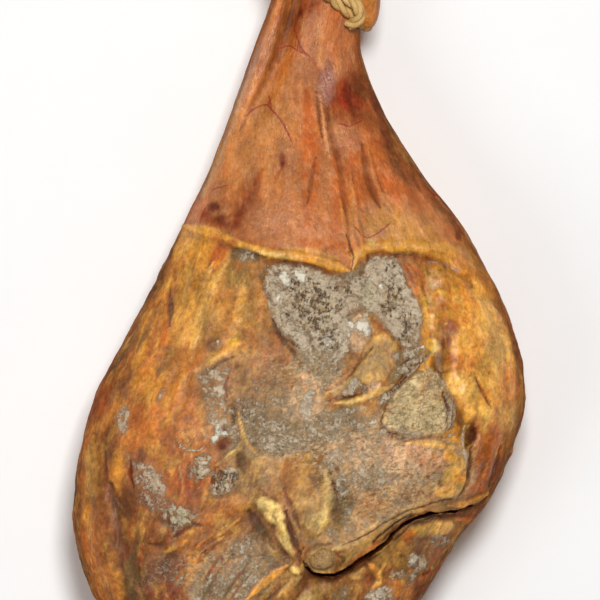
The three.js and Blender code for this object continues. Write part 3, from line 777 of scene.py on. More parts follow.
MOULD_FIELD = (
    patch(((250, 262), (300, 262), (345, 282), (420, 300), (428, 350), (400, 400), (372, 430), (300, 436),
           (250, 420), (236, 370), (248, 300)), "flesh", 0.9, soft=2.0, ragged=1.5),
    spot(268, 362, 26, 20, "flesh orange", 0, 0.8, ragged=0.6, soft=0.6),
    spot(276, 372, 18, 16, "olive", 0, 0.55, ragged=0.8, soft=0.7),
    spot(254, 364, 6, 5, "fat orange", -30, 0.9, height=0.4, ragged=0.7),
    spot(295, 374, 4, 4.5, "fat orange", 0, 0.95),
    spot(262, 300, 6, 22, "flesh orange", 4, 0.6, ragged=0.6, soft=0.7),
    patch(((266, 270), (300, 266), (336, 276), (380, 258), (400, 264), (420, 320), (416, 348), (396, 340),
           (372, 316), (348, 322), (346, 354), (322, 368), (300, 354), (270, 312)), "flesh grey", 0.95,
          soft=2.0, ragged=1.5),
    patch(((267, 268), (273, 265), (290, 265), (309, 269), (336, 278), (352, 279), (362, 276), (366, 266),
           (371, 262), (383, 259), (397, 263), (402, 276), (408, 291), (415, 306), (419, 318), (418, 334),
           (416, 346), (406, 348), (398, 338), (391, 331), (381, 320), (370, 314), (357, 313), (348, 320),
           (347, 332), (349, 348), (343, 356), (336, 360), (320, 367), (305, 360), (298, 350), (288, 336),
           (278, 326), (273, 316), (267, 302), (263, 290)), "mould", 1.0, 0.7, soft=2.0, ragged=1.5),
    spot(368, 296, 10, 13, "mould green", 0, 0.75),
    spot(404, 296, 12, 34, "mould pale", -15, 0.35, soft=0.8),
    spot(290, 292, 13, 16, "mould", 0, 1.0, height=0.5),
    spot(284.6, 277.5, 5, 6.5, "bloom", 0, 1.0, height=0.9, ragged=0.5, soft=0.6),
    spot(287.5, 283, 3, 4, "bloom", 0, 0.9, height=0.6, ragged=0.6, soft=0.6),
    spot(301.5, 277.5, 5, 6, "bloom", -25, 1.0, height=0.9, ragged=0.5, soft=0.6),
    spot(296.5, 273, 2, 3.5, "bloom", 0, 0.9, height=0.4, ragged=0.5),
    spot(379.6, 287.5, 2.8, 4, "bloom", 0, 0.95, height=0.5, ragged=0.5),
    spot(279.3, 297, 1.8, 3, "bloom", -20, 0.8, height=0.3),
    spot(276, 327, 2.6, 7, "bloom", -20, 0.55, height=0.3, ragged=0.6),
    spot(298.5, 334, 1.6, 4, "bloom", 0, 0.8, height=0.3),
    spot(327, 341, 6, 7, "bloom", 10, 0.5, height=0.5, ragged=0.6),
    spot(329, 353, 5, 6, "bloom", 0, 0.5, height=0.5, ragged=0.6),
    spot(302, 303, 9, 16, "specks", -8, 0.95, soft=0.5, ragged=0.8),
    spot(315, 310, 15, 22, "specks", 0, 1.0, soft=0.5, ragged=0.7),
    spot(334, 299, 12, 12, "specks", 0, 0.95, soft=0.5, ragged=0.8),
    spot(291, 284, 6, 5, "specks", 20, 0.9, soft=0.4, ragged=0.8),
    spot(313, 286, 8, 6, "specks", 10, 0.85, soft=0.5, ragged=0.8),
    spot(333, 342, 10, 14, "specks", 0, 0.75, soft=0.6, ragged=0.8),
    spot(322, 328, 8, 12, "specks", 0, 0.85, soft=0.5, ragged=0.8),
    spot(394, 297, 10, 12, "specks", -20, 1.0, soft=0.4, ragged=0.6),
    spot(387, 308, 6, 10, "specks", -20, 0.95, soft=0.4, ragged=0.6),
    spot(408, 322, 7, 11, "specks", -15, 0.95, soft=0.5, ragged=0.6),
    spot(404, 338, 8, 8, "specks", 0, 0.85, soft=0.5, ragged=0.7),
    spot(388, 268, 8, 6, "specks", 0, 0.6, soft=0.5, ragged=0.8),
    spot(349, 292, 6, 5, "specks", 0, 0.6, soft=0.5, ragged=0.8),
    spot(292, 318, 11, 10, "specks", 0, 0.6, soft=0.5, ragged=0.8),
    line(((266, 290), (269, 297), (272, 303)), 2.6, "mould grey", 0.9, -0.9, ragged=0.7),
    line(((268, 266), (262, 276), (264, 290)), 3.4, "olive grey and shade", 0.8, -0.5, ragged=0.7),
    line(((272, 318), (277, 330), (285, 342), (294, 352), (301, 366)), 2.2, "olive", 0.85, -1.0, ragged=0.5),
    line(((275, 332), (288, 340), (303, 349)), 1.2, "mauve", 0.8, -0.8),
    line(((346, 316), (352, 312), (361, 311), (370, 314), (377, 322), (388, 334), (400, 348)), 2.6,
         "flesh brown", 0.6, -0.8, soft=0.9, ragged=0.8),
    patch(((350, 318), (360, 314), (368, 318), (372, 330), (366, 340), (360, 352), (352, 352), (348, 336)),
          "flesh pink", 0.95, 0.4, soft=0.8, ragged=0.8),
    spot(361, 326, 7.5, 7, "bloom", -15, 1.0, height=1.2, ragged=0.55, soft=0.6),
    spot(366, 331, 3.4, 5, "bloom", 0, 1.0, height=0.9, ragged=0.5, soft=0.6),
    spot(350, 325, 2.4, 3.6, "bloom", 0, 1.0, height=0.7, ragged=0.6, soft=0.6),
    spot(348, 333, 1.8, 4, "bloom", 0, 0.8, height=0.4, ragged=0.6),
    patch(((366, 344), (374, 336), (386, 332), (394, 340), (396, 354), (390, 368), (384, 378), (370, 384),
           (358, 380), (350, 384), (338, 392), (326, 396), (322, 390), (336, 382), (350, 372), (360, 360)),
          "ochre", 0.95, 0.9, soft=1.2, ragged=0.8),
    line(((322, 392), (336, 384), (350, 374), (360, 360), (372, 346)), 1.6, "flesh brown", 0.7, -0.8),
    line(((327, 389), (340, 379), (352, 369)), 2.6, "flesh orange", 0.9, 0.5),
    line(((388, 350), (394, 366), (388, 376)), 2.4, "fat orange", 0.6),
    spot(322, 374, 8, 10, "mould green", 0, 0.6, ragged=0.9),
    spot(330, 370, 9, 6, "olive grey and shade", -20, 0.8, ragged=0.6),
    patch(((345, 398), (340, 392), (346, 386), (350, 378), (356, 376), (360, 386), (354, 394), (350, 400)),
          "mould", 1.0, 0.7, soft=1.6, ragged=1.3),
    spot(352, 384, 5, 7, "bloom", 10, 0.45, height=0.4, ragged=0.7),
    spot(364, 388, 5, 6, "mould grey", 20, 0.7, ragged=0.8),
    patch(((368, 392), (366, 384), (372, 380), (380, 382), (380, 388), (374, 394), (370, 400)), "flesh pink",
          0.95, 1.0, soft=0.8, ragged=0.4),
    line(((334, 402), (346, 401), (362, 397), (378, 391), (392, 384)), 3.0, "ochre", 1.0, 0.7),
    line(((336, 402), (350, 401), (364, 396)), 1.6, "tallow", 0.7, 0.3),
    line(((328, 400), (338, 396), (350, 396), (362, 392)), 1.4, "rind dark and shade", 0.75, -0.9),
    line(((326, 410), (338, 412), (352, 410), (366, 406)), 5, "flesh grey", 0.9, ragged=0.6),
    patch(((392, 352), (404, 348), (418, 346), (420, 354), (408, 366), (398, 376), (388, 384), (386, 374),
           (392, 364)), "olive grey and shade", 0.95, 0.4, soft=1.0, ragged=0.9),
    *strands(((418, 350), (402, 360), (390, 374)), ((426, 358), (412, 372), (398, 386)), 7, 1.0,
             ("dark", "mould", "mould grey", "olive"), 0.5, 21),
    line(((428, 352), (418, 360), (406, 374), (396, 386), (384, 398), (378, 408), (374, 419), (378, 427),
          (390, 434)), 5.6, "mould", 0.75, -1.2, soft=1.1, ragged=1.2),
    *strands(((424, 354), (404, 375), (384, 397), (374, 416)), ((431, 358), (412, 379), (392, 400),
                                                                (382, 418)), 6, 0.9, ("dark", "mauve",
                                                                                      "mould grey", "olive"),
             0.4, 23),
    line(((416, 364), (404, 376), (394, 388)), 1.4, "mould grey", 0.7, -0.4),
    line(((398, 384), (388, 394), (379, 404), (375, 414), (375, 422)), 3.0, "mould pale", 0.7, 0.2, soft=0.9,
         ragged=0.9),
    spot(374, 422, 5, 5, "mould pale", 0, 0.95, height=0.5),
    spot(384, 428, 6, 4, "mould", 20, 0.9, height=0.4),
    spot(370, 422, 14, 11, "flesh tan", 0, 0.8, soft=0.8),
    line(((408, 352), (422, 346), (423, 352)), 1.4, "bloom", 0.8, 0.3),
    patch(((288, 352), (304, 360), (322, 366), (340, 358), (346, 366), (334, 384), (318, 394), (300, 384),
           (286, 370)), "flesh tan", 0.85, soft=2.0, ragged=1.6),
    patch(((296, 352), (346, 352), (340, 372), (322, 392), (330, 410), (372, 424), (372, 448), (300, 452),
           (244, 448), (236, 420), (262, 400), (290, 396), (300, 376)), "flesh grey", 0.75, soft=2.0,
          ragged=1.5),
    spot(312, 378, 30, 26, "crumbs", 0, 1.0, soft=0.5, ragged=0.5),
    spot(306, 408, 26, 22, "crumbs", 0, 1.0, soft=0.5, ragged=0.5),
    spot(262, 384, 30, 34, "crumbs", 0, 0.8, soft=0.5, ragged=0.5),
    patch(((300, 372), (312, 372), (322, 378), (324, 394), (320, 410), (312, 424), (298, 430), (288, 424),
           (280, 408), (290, 392), (298, 384)), "flesh pink", 0.85, 0.5, soft=1.5, ragged=1.4),
    spot(309, 402, 6, 12, "bloom", 12, 0.55, height=0.5, ragged=0.8),
    spot(305, 414, 6, 8, "mould pale", 0, 0.8, height=0.4, ragged=0.7),
    spot(271, 412, 8.5, 9.5, "olive", 0, 0.9, height=1.0, ragged=0.4, soft=0.4),
    spot(278, 396, 9, 9, "ochre", 0, 0.5, ragged=0.7, height=0.5),
    patch(((238, 398), (246, 394), (254, 400), (256, 412), (250, 424), (242, 430), (236, 420)), "mould", 0.85,
          0.4, soft=1.2, ragged=1.3),
    spot(248, 412, 6, 9, "specks", 0, 0.8),
    spot(262, 428, 9, 7, "mould", 0, 0.7, ragged=0.8),
    *scatter(300, 312, 24, 32, 22, 1.5, ("mould grey", "bloom", "mould pale"), 0.5, 11),
    *scatter(280, 376, 30, 22, 26, 1.7, ("fat orange", "ochre", "olive", "flesh grey"), 0.6, 12),
    *scatter(335, 352, 18, 18, 14, 1.4, ("bloom", "mould grey"), 0.5, 13),
)

ISLAND = (
    patch(((427, 366), (436, 374), (444, 386), (449, 400), (452, 414), (450, 426), (438, 434), (420, 435),
           (402, 432), (388, 428), (380, 420), (382, 408), (392, 394), (404, 382), (416, 372)), "crust", 1.0,
          1.5, soft=1.1, ragged=0.9),
    spot(410, 400, 26, 24, "crackle", 0, 1.0, soft=0.5),
    line(((434, 372), (444, 386), (450, 400), (452, 416), (450, 428)), 3.0, "mould", 0.8, 0.3, soft=0.9,
         ragged=0.9),
    line(((440, 392), (446, 408), (444, 428)), 2.4, "mauve", 0.85, -0.9, ragged=0.7),
    *strands(((434, 386), (440, 402), (438, 428)), ((448, 390), (455, 408), (452, 432)), 13, 0.9,
             ("mould", "dark", "mould pale", "mould grey"), 0.6, 22),
    spot(414, 396, 3.4, 3, "dark", 0, 0.6, ragged=0.8),
    spot(412, 434, 14, 5, "mould", 8, 0.9, ragged=0.8),
    line(((380, 426), (396, 434), (416, 438), (440, 437), (454, 432)), 3.2, "mould", 0.8, -0.8, soft=0.9,
         ragged=0.9),
    line(((384, 430), (398, 437), (418, 441)), 1.2, "dark", 0.6, -0.7),
)

MEAT = (
    patch(((240, 428), (300, 424), (372, 424), (440, 436), (470, 452), (474, 478), (462, 498), (436, 502),
           (408, 508), (384, 522), (352, 544), (336, 548), (318, 540), (300, 540), (284, 520), (262, 480),
           (244, 452)), "flesh tan", 0.9, soft=2.0, ragged=1.5),
    spot(292, 436, 50, 16, "olive grey and shade", -6, 0.85, ragged=0.6),
    spot(300, 450, 46, 12, "flesh grey", 10, 0.8, ragged=0.5),
    spot(336, 440, 38, 16, "flesh grey", 6, 0.85, ragged=0.9, soft=1.0),
    spot(386, 456, 62, 22, "flesh pink", 10, 0.9, ragged=0.5),
    spot(410, 450, 24, 12, "rind pink and sheen", 10, 0.55, ragged=0.7),
    spot(432, 462, 18, 12, "rind pink and sheen", 0, 0.6, ragged=0.6),
    spot(372, 478, 24, 12, "flesh grey", 8, 0.7, ragged=0.7),
    spot(410, 482, 28, 12, "flesh tan", 8, 0.6, ragged=0.8),
    spot(366, 500, 26, 14, "flesh", 20, 0.55, ragged=0.6),
    spot(426, 492, 30, 9, "flesh brown", 4, 0.6, soft=0.8, ragged=0.7),
    # A hollow of the meat: olive-grey mould haze with painted shadow in it.
    spot(341, 500, 11, 24, "olive grey and shade", 8, 0.95, soft=0.6, ragged=0.3, height=-1.6),
    spot(338, 512, 6, 14, "olive", 6, 0.6, soft=0.8, height=-0.6),
    spot(300, 474, 20, 28, "flesh", 12, 0.95, ragged=0.6),
    spot(304, 506, 9, 26, "ochre", -8, 0.7, ragged=0.6),
    line(((284, 486), (292, 506), (300, 526)), 3.4, "mauve", 0.7, -0.8, ragged=0.5),
    line(((325, 468), (327, 484), (328, 500), (324, 516), (318, 530)), 4.2, "tallow", 0.75, 1.2, soft=0.9,
         ragged=0.7),
    line(((323, 474), (322, 492), (314, 512), (308, 524)), 5.0, "ochre", 0.75, 0.5, soft=0.9, ragged=0.7),
    spot(318, 520, 13, 10, "tallow", -20, 0.75, height=0.7, ragged=0.5),
    spot(310, 530, 9, 6, "ochre", -20, 0.8, height=0.5, ragged=0.5),
    line(((330, 470), (334, 486), (336, 500)), 1.4, "flesh brown", 0.8, -0.8),
    spot(386, 458, 80, 36, "crumbs", 12, 1.0, soft=0.4, ragged=0.4),
    spot(380, 496, 60, 22, "crumbs", 20, 0.9, soft=0.5, ragged=0.4),
    spot(300, 444, 60, 18, "crumbs", 6, 1.0, soft=0.5, ragged=0.5),
    *scatter(370, 456, 76, 20, 26, 2.6, ("flesh tan", "flesh brown", "flesh pink", "ochre"), 0.6, 31),
    *scatter(396, 486, 52, 16, 20, 2.4, ("flesh tan", "flesh brown", "flesh pink"), 0.6, 32),
    line(((406, 440), (424, 441), (440, 444), (454, 446)), 2.6, "fat pale", 0.85, 0.6, ragged=0.6),
    spot(448, 454, 7, 6, "fat", 0, 0.95, ragged=0.5, height=0.9),
    spot(456, 462, 6, 8, "fat pale", 0, 0.85, ragged=0.5, height=0.6),
    spot(452, 478, 12, 14, "ochre", -20, 0.95, ragged=0.5, height=1.0),
    spot(457, 474, 8, 8, "fat", -20, 0.85, ragged=0.5, height=0.7),
    spot(444, 490, 9, 6, "fat pale", 10, 0.85, ragged=0.5, height=0.7),
    spot(441, 481, 5, 4, "ochre", 0, 0.6, height=-0.4),
    spot(470, 434, 6, 16, "maroon", 6, 1.0, height=-1.4, soft=0.5, ragged=0.5),
    line(((463, 424), (461, 438), (463, 452), (465, 460)), 1.8, "mould pale", 0.95, 0.7, ragged=0.7),
    line(((474, 420), (478, 432), (475, 446), (472, 462)), 1.6, "rind pink and sheen", 0.85, 0.6),
    spot(476, 422, 6, 9, "flesh red", 0, 0.8),
    line(((470, 446), (468, 462), (466, 480), (458, 494)), 2.4, "flesh brown", 0.85, -1.0, ragged=0.6),
)

LEDGE_EDGE = (
    line(((338, 548), (352, 540), (366, 531), (386, 518), (406, 507), (424, 502), (440, 501)), 4.0, "bone",
         0.6, 0.6, soft=0.8),
    patch(((338, 552), (352, 544), (368, 534), (384, 524), (400, 512), (414, 506), (430, 503), (444, 503),
           (446, 508), (424, 510), (408, 513), (396, 522), (384, 532), (372, 542), (356, 554), (342, 560)),
          "ochre", 0.75, 0.3, soft=0.7, ragged=0.6),
    line(((348, 560), (362, 551), (378, 540), (386, 532)), 2.2, "fat orange", 0.75),
    # Dark strokes in the slab's crack and round the bone end: painted shade.
    line(((372, 540), (384, 529), (398, 518), (410, 511)), 0.8, "dark", 0.85, -0.6, ragged=0.3),
    line(((336, 552), (344, 556), (340, 562)), 2.2, "dark", 0.5, -0.6, ragged=0.8),
    spot(322, 557, 16, 13, "bone", 0, 1.0, soft=0.25),
    line(((333, 546), (340, 544), (346, 540)), 3.0, "tallow", 0.8, 0.5),
    line(((308, 548), (318, 543), (330, 541)), 3.0, "olive", 0.5, -0.4),
    # Painted shade round the bone end and along the gap under the ledge.
    line(((300, 562), (298, 552), (304, 544)), 2.4, "rind dark and shade", 0.8, -1.2),
    line(((303, 558), (307, 565), (315, 572), (330, 574), (344, 569), (354, 562), (366, 553), (379, 543),
          (386, 534), (394, 527), (404, 520), (412, 514), (424, 512), (437, 514)), 2.4, "dark", 1.0, -0.6,
         soft=0.6, ragged=0.2),
    line(((437, 514), (449, 510), (462, 510), (474, 506), (484, 499), (492, 490)), 1.4, "rind dark and shade", 1.0,
         -0.8),
    patch(((300, 580), (330, 580), (352, 574), (376, 560), (400, 540), (410, 560), (390, 590), (370, 612),
           (300, 620)), "flesh brown", 0.5, soft=2.0, ragged=1.5),
    spot(359, 570, 9, 6.5, "ochre", -20, 0.9, height=0.9),
    spot(314, 592, 20, 8, "ochre", -30, 0.85, ragged=0.5, height=0.8),
    spot(306, 598, 8, 5, "tallow", -30, 0.7, ragged=0.5, height=0.4),
    spot(336, 596, 14, 12, "olive grey and shade", 0, 0.6, ragged=0.7),
    spot(376, 566, 16, 11, "flesh brown", -35, 0.85),
    spot(394, 546, 22, 12, "fat pale", -35, 0.6, soft=0.8, ragged=0.6, height=0.6),
    line(((366, 560), (376, 568), (380, 578), (372, 586)), 3.6, "fat", 0.7, 0.7, soft=0.8, ragged=0.6),
    line(((384, 562), (378, 572), (380, 582)), 2.0, "fat pale", 0.8, 0.6),
    spot(430, 527, 23, 8, "fat pale", -6, 0.95, height=1.3),
    spot(418, 530, 9, 6, "fat bright and highlight", -6, 0.7, height=0.5),
    spot(408, 533, 8, 6, "fat orange", -35, 0.85),
    line(((452, 514), (468, 513), (484, 506), (494, 492)), 5.0, "flesh brown", 0.95),
    line(((456, 518), (470, 520), (482, 514)), 3.4, "fat orange", 0.7, 0.5),
    line(((446, 503), (460, 503), (472, 500), (486, 492)), 3.0, "fat", 0.9, 0.8),
    spot(434, 546, 22, 17, "mauve", 20, 0.7, ragged=0.7),
    spot(440, 540, 12, 7, "mould", 20, 0.6, ragged=0.8),
    spot(416, 560, 9, 9, "mould pale", 15, 0.9, height=0.5, ragged=0.7),
    spot(413, 556, 5, 5, "bloom", 15, 0.5, height=0.3, ragged=0.7),
    line(((446, 552), (436, 566), (424, 574)), 3.6, "rind dark and shade", 0.6, -0.8, ragged=0.7),
    spot(430, 572, 12, 6, "flesh red", -20, 0.7, ragged=0.6),
    spot(404, 578, 12, 8, "mould", 20, 0.75, height=0.3, ragged=0.7),
    spot(400, 592, 16, 12, "flesh orange", 40, 0.9, ragged=0.6, height=0.5),
    spot(378, 593, 14, 9, "mould pale", -20, 0.9, height=0.4, ragged=0.6),
    spot(420, 588, 10, 8, "flesh red", 40, 0.7),
    *scatter(405, 572, 34, 20, 24, 2.0, ("mould", "flesh orange", "fat pale", "rind dark and shade"), 0.6, 41),
    line(((462, 530), (450, 552), (434, 582), (414, 616)), 4, "olive grey and shade", 0.95, soft=0.6),
    spot(340, 630, 70, 24, "flesh brown", 0, 0.7, ragged=0.5),
    spot(300, 654, 76, 28, "flesh", 0, 0.6, ragged=0.5),
    *scatter(330, 640, 90, 30, 34, 5.0, ("flesh orange", "mould", "olive grey and shade", "fat"), 0.8, 42),
)

LOWER_LEFT = (
    patch(((196, 372), (214, 356), (244, 350), (268, 366), (290, 390), (292, 430), (268, 446), (236, 456),
           (214, 452), (204, 430), (200, 400)), "flesh grey", 0.5, soft=3.0, ragged=2.0),
    patch(((124, 452), (150, 448), (170, 462), (176, 496), (204, 500), (204, 520), (176, 534), (150, 520),
           (132, 490)), "mauve", 0.7, soft=3.0, ragged=2.0),
    spot(236, 474, 26, 22, "flesh grey", 0, 0.7, soft=0.8, ragged=0.8),
    patch(((148, 440), (176, 430), (212, 440), (226, 452), (224, 480), (204, 500), (180, 504), (160, 488),
           (150, 466)), "flesh orange", 0.8, soft=3.0, ragged=2.0),
    spot(186, 474, 18, 28, "flesh red", 0, 0.6, soft=0.8, ragged=0.6),
    *strands(((172, 446), (176, 470), (182, 500)), ((200, 444), (204, 470), (206, 498)), 9, 1.0,
             ("flesh red", "fat orange", "flesh tan", "flesh red"), 0.4, 51),
    patch(((200, 378), (212, 370), (226, 366), (240, 364), (240, 372), (230, 384), (228, 396), (228, 410),
           (230, 424), (222, 430), (212, 424), (208, 408), (210, 394), (204, 386)), "mould", 0.72, 0.4,
          soft=3.4, ragged=2.0),
    spot(234, 367, 7, 5, "mauve", -10, 0.8, ragged=0.5, height=0.4),
    line(((229, 376), (226, 386), (228, 396)), 1.8, "mauve", 0.8, -0.6),
    spot(222, 388, 7, 12, "mould pale", 10, 0.35, height=0.3, ragged=0.8),
    spot(214, 382, 5, 4, "flesh brown", 0, 0.6, ragged=0.8),
    line(((234, 404), (235, 414), (234, 424)), 2.2, "olive grey and shade", 0.95, -0.8),
    spot(216, 437, 4.4, 5.5, "bloom", 20, 1.0, height=0.8, ragged=0.5, soft=0.6),
    spot(223, 432, 6.5, 2.6, "bloom", -8, 1.0, height=0.8, ragged=0.5, soft=0.6),
    spot(219, 427, 3, 4, "bloom", 0, 0.7, height=0.5, ragged=0.6),
    spot(235, 434, 6, 7, "mould", 0, 1.0, height=0.6, ragged=0.6, soft=0.7),
    spot(223, 443, 7, 5, "flesh red", -20, 0.9, height=-0.8, ragged=0.9, soft=0.7),
    spot(224, 445, 3, 3, "dark", 0, 0.4, height=-0.5, ragged=0.5),
    line(((239, 410), (241, 424), (244, 436), (253, 447), (258, 452)), 2.4, "ochre", 0.95, 0.9),
    line(((240, 414), (243, 428), (246, 436)), 1.0, "tallow", 0.7, 0.4),
    line(((244, 436), (240, 446), (232, 452), (226, 458), (218, 462)), 3.0, "ochre", 0.95, 0.6),
    line(((236, 448), (228, 454)), 1.6, "tallow", 0.7, 0.4),
    line(((178, 434), (182, 444), (190, 449), (200, 449), (208, 443)), 1.2, "bloom", 0.75, 0.5, ragged=0.4),
    line(((190, 424), (196, 432), (198, 442)), 1.2, "flesh tan", 0.85, 0.5, ragged=0.3),
    line(((182, 428), (188, 436), (192, 446)), 1.2, "flesh tan", 0.85, 0.5, ragged=0.3),
    line(((200, 424), (206, 432), (206, 440)), 1.2, "flesh pink", 0.85, 0.4, ragged=0.3),
    spot(203, 467, 9.5, 13, "mould green", 0, 1.0, ragged=0.7, soft=0.8, height=0.4),
    spot(204, 465, 5, 8, "mould pale", 0, 0.8, ragged=0.5, height=0.3),
    patch(((212, 470), (222, 464), (232, 466), (240, 470), (248, 478), (246, 490), (238, 486), (228, 482),
           (224, 496), (216, 498), (210, 486)), "mould", 0.7, 0.3, soft=3.2, ragged=2.0),
    spot(220, 480, 8, 10, "specks", 0, 0.9, ragged=0.8),
    spot(238, 476, 8, 10, "specks", 0, 0.7, ragged=0.8),
    spot(242, 460, 6, 8.5, "olive", 0, 1.0, ragged=0.5, height=-1.0),
    spot(242, 461, 4, 6, "dark", 0, 0.55, ragged=0.5, height=-0.6),
    spot(250, 468, 5, 10, "flesh red", 0, 0.6, ragged=0.6),
    patch(((131, 460), (140, 458), (152, 464), (162, 468), (164, 482), (166, 494), (174, 504), (186, 508),
           (197, 508), (194, 516), (184, 522), (180, 530), (172, 526), (166, 518), (158, 514), (150, 506),
           (144, 492), (138, 480)), "mould", 0.76, 0.4, soft=3.4, ragged=2.0),
    spot(148, 484, 6, 10, "mould pale", -20, 0.4, height=0.4, ragged=0.7),
    spot(184, 514, 12, 8, "mould green", -10, 0.95, height=0.3, ragged=0.8, soft=0.8),
    spot(180, 518, 6, 4, "bloom", 0, 0.35, height=0.3, ragged=0.6),
    line(((132, 458), (131, 472), (135, 486)), 2.4, "bruise red", 0.85, -0.6, ragged=0.7),
    line(((142, 470), (148, 486), (158, 500)), 1.2, "mauve", 0.6, -0.5, ragged=0.7),
    line(((170, 508), (170, 520), (176, 528)), 1.6, "olive", 0.7, -0.5),
    spot(157.6, 531, 12, 10.5, "flesh orange", 0, 1.0, soft=0.5, ragged=0.3, height=1.8),
    spot(160, 535, 8, 6, "flesh brown", 0, 0.6, soft=0.7),
    line(((170, 524), (170, 534), (163, 542), (150, 541)), 2.4, "flesh brown", 0.8, -0.8, soft=0.8),
    line(((172, 536), (184, 529), (196, 521), (204, 523)), 2.2, "mauve", 0.95, -0.8, ragged=0.5),
    line(((192, 519), (198, 522), (204, 522)), 1.6, "rind dark and shade", 0.5, -0.4),
    line(((167, 549), (173, 546), (180, 542), (187, 538)), 4.2, "fat", 1.0, 1.3, ragged=0.4),
    line(((168, 550), (173, 546), (178, 544)), 2.6, "fat bright and highlight", 0.7, 0.3),
    *strands(((196, 560), (214, 546), (236, 528)), ((170, 576), (196, 540), (240, 516)), 10, 1.6,
             ("fat orange", "mauve", "fat", "flesh brown", "flesh tan"), 0.9, 52),
    line(((198, 544), (212, 534), (228, 526), (240, 516)), 3.0, "fat", 0.85, 0.8, soft=0.8, ragged=0.7),
    spot(222, 506, 20, 8, "flesh orange", -8, 0.9, ragged=0.6, height=0.5),
    spot(240, 500, 12, 8, "fat", 10, 0.85, ragged=0.5, height=0.6),
    patch(((200, 560), (226, 540), (250, 524), (262, 530), (276, 548), (288, 560), (276, 574), (254, 594),
           (236, 612), (200, 612), (186, 596), (190, 576)), "flesh grey", 0.85, soft=3.0, ragged=2.0),
    spot(236, 566, 52, 40, "crumbs", -20, 0.9, soft=0.5, ragged=0.4),
    *strands(((226, 536), (206, 568), (188, 604)), ((284, 556), (262, 580), (240, 610)), 20, 2.0,
             ("flesh tan", "flesh brown", "flesh grey", "mould", "olive", "mauve"), 0.5, 53),
    *scatter(232, 566, 34, 26, 22, 1.8, ("bloom", "fat orange", "rind dark and shade"), 0.5, 54),
    patch(((142, 552), (160, 548), (184, 552), (194, 566), (186, 592), (164, 602), (146, 594), (138, 572)),
          "mauve", 0.95, soft=1.8, ragged=1.6),
    spot(166, 576, 30, 28, "crumbs", 0, 0.7, soft=0.5, ragged=0.4),
    *strands(((182, 552), (166, 572), (150, 598)), ((196, 566), (186, 584), (172, 604)), 8, 2.0,
             ("flesh red", "flesh grey", "flesh brown", "flesh"), 0.5, 55),
    spot(168, 590, 20, 10, "flesh red", 0, 0.7, ragged=0.6),
    spot(160, 562, 10, 7, "mould", 0, 0.6, ragged=0.8),
    spot(150, 606, 26, 18, "flesh brown", 0, 0.8, ragged=0.4),
    spot(144, 536, 28, 36, "flesh brown", 0, 0.85, soft=0.8, ragged=0.6),
    spot(212, 535, 40, 15, "flesh brown", -22, 0.75, soft=0.8, ragged=0.6),
    spot(248, 470, 12, 28, "olive", 0, 0.8, soft=0.9, ragged=0.6),
    spot(222, 500, 24, 10, "flesh brown", 0, 0.5, soft=0.9),
    spot(106, 504, 10, 64, "flesh brown", 0, 0.75, soft=0.9),
    spot(280, 522, 22, 52, "flesh brown", -14, 0.7, soft=0.9, ragged=0.6),
    spot(250, 374, 22, 14, "flesh brown", 0, 0.5, soft=0.9, ragged=0.6),
    spot(136, 566, 8, 28, "olive", 4, 0.85, ragged=0.5),
    line(((144, 540), (142, 556), (144, 572)), 3, "flesh red", 0.8),
    patch(((254, 496), (262, 494), (274, 500), (282, 506), (284, 518), (288, 532), (294, 546), (294, 554),
           (286, 548), (279, 536), (274, 520), (264, 508), (256, 502)), "tallow", 0.9, 1.8, soft=1.3,
          ragged=1.0),
    spot(272, 502, 9, 4.5, "tallow", 15, 1.0, height=0.9, ragged=0.4),
    line(((268, 508), (276, 516), (280, 530), (286, 542)), 1.4, "ochre", 0.7, -0.6),
    line(((286, 508), (290, 524), (296, 542), (300, 552)), 3.0, "mauve", 0.9, -1.4),
    line(((250, 508), (258, 520), (266, 534), (274, 546)), 4.4, "olive", 0.95, -1.2, ragged=0.6),
    spot(256, 516, 6, 7, "mauve", 0, 0.7, height=-0.5),
    line(((266, 536), (274, 548), (282, 560)), 4.5, "ochre", 0.8),
    spot(295, 567, 5.5, 3.4, "tallow", 30, 0.95, height=0.7),
    line(((248, 595), (262, 582), (276, 570), (288, 562)), 3.6, "fat", 0.85, 1.0, ragged=0.5),
    line(((278, 592), (290, 582), (300, 574)), 5.0, "ochre", 0.8, 0.5, ragged=0.5),
    line(((262, 600), (276, 590), (288, 578)), 2.2, "rind dark and shade", 0.6, -0.6),
    spot(200, 628, 54, 24, "flesh grey", 0, 0.7, ragged=0.5),
    spot(230, 662, 54, 22, "flesh brown", 0, 0.6, ragged=0.5),
    *scatter(200, 640, 70, 26, 30, 4.5, ("mould", "fat orange", "flesh red", "mauve"), 0.8, 56),
)

FEATURES = SHANK + COLLAR + FLANKS + FAT_LOBE + MOULD_FIELD + ISLAND + MEAT + LEDGE_EDGE + LOWER_LEFT

# Lines too thin to paint, in the photograph's pixels: red veins, and fissures between parts with painted shade
# in them.
VEINS = (
    ((280, 48), (288, 46), (298, 51), (309, 57)), ((296, 16), (295, 30), (299, 44), (305, 54)),
    ((247, 115), (255, 108), (268, 105), (273, 112), (281, 121), (288, 134), (291, 142)),
    ((270, 97), (271, 105)), ((214, 190), (220, 188), (226, 186)), ((200, 222), (203, 214), (206, 208)),
    ((355, 228), (361, 236), (368, 239), (378, 234), (388, 225)), ((340, 124), (350, 127), (360, 122)),
    ((430, 192), (440, 198), (446, 200)),
)
FISSURES = (
    ((346, 236), (350, 246), (353, 258), (351, 270)),
    ((426, 354), (410, 369), (398, 384), (388, 393)), ((384, 408), (380, 420), (388, 430), (402, 434)),
    ((343, 542), (366, 531), (386, 518), (406, 508), (429, 502), (449, 497)),
    ((373, 540), (391, 523), (410, 511)),
)


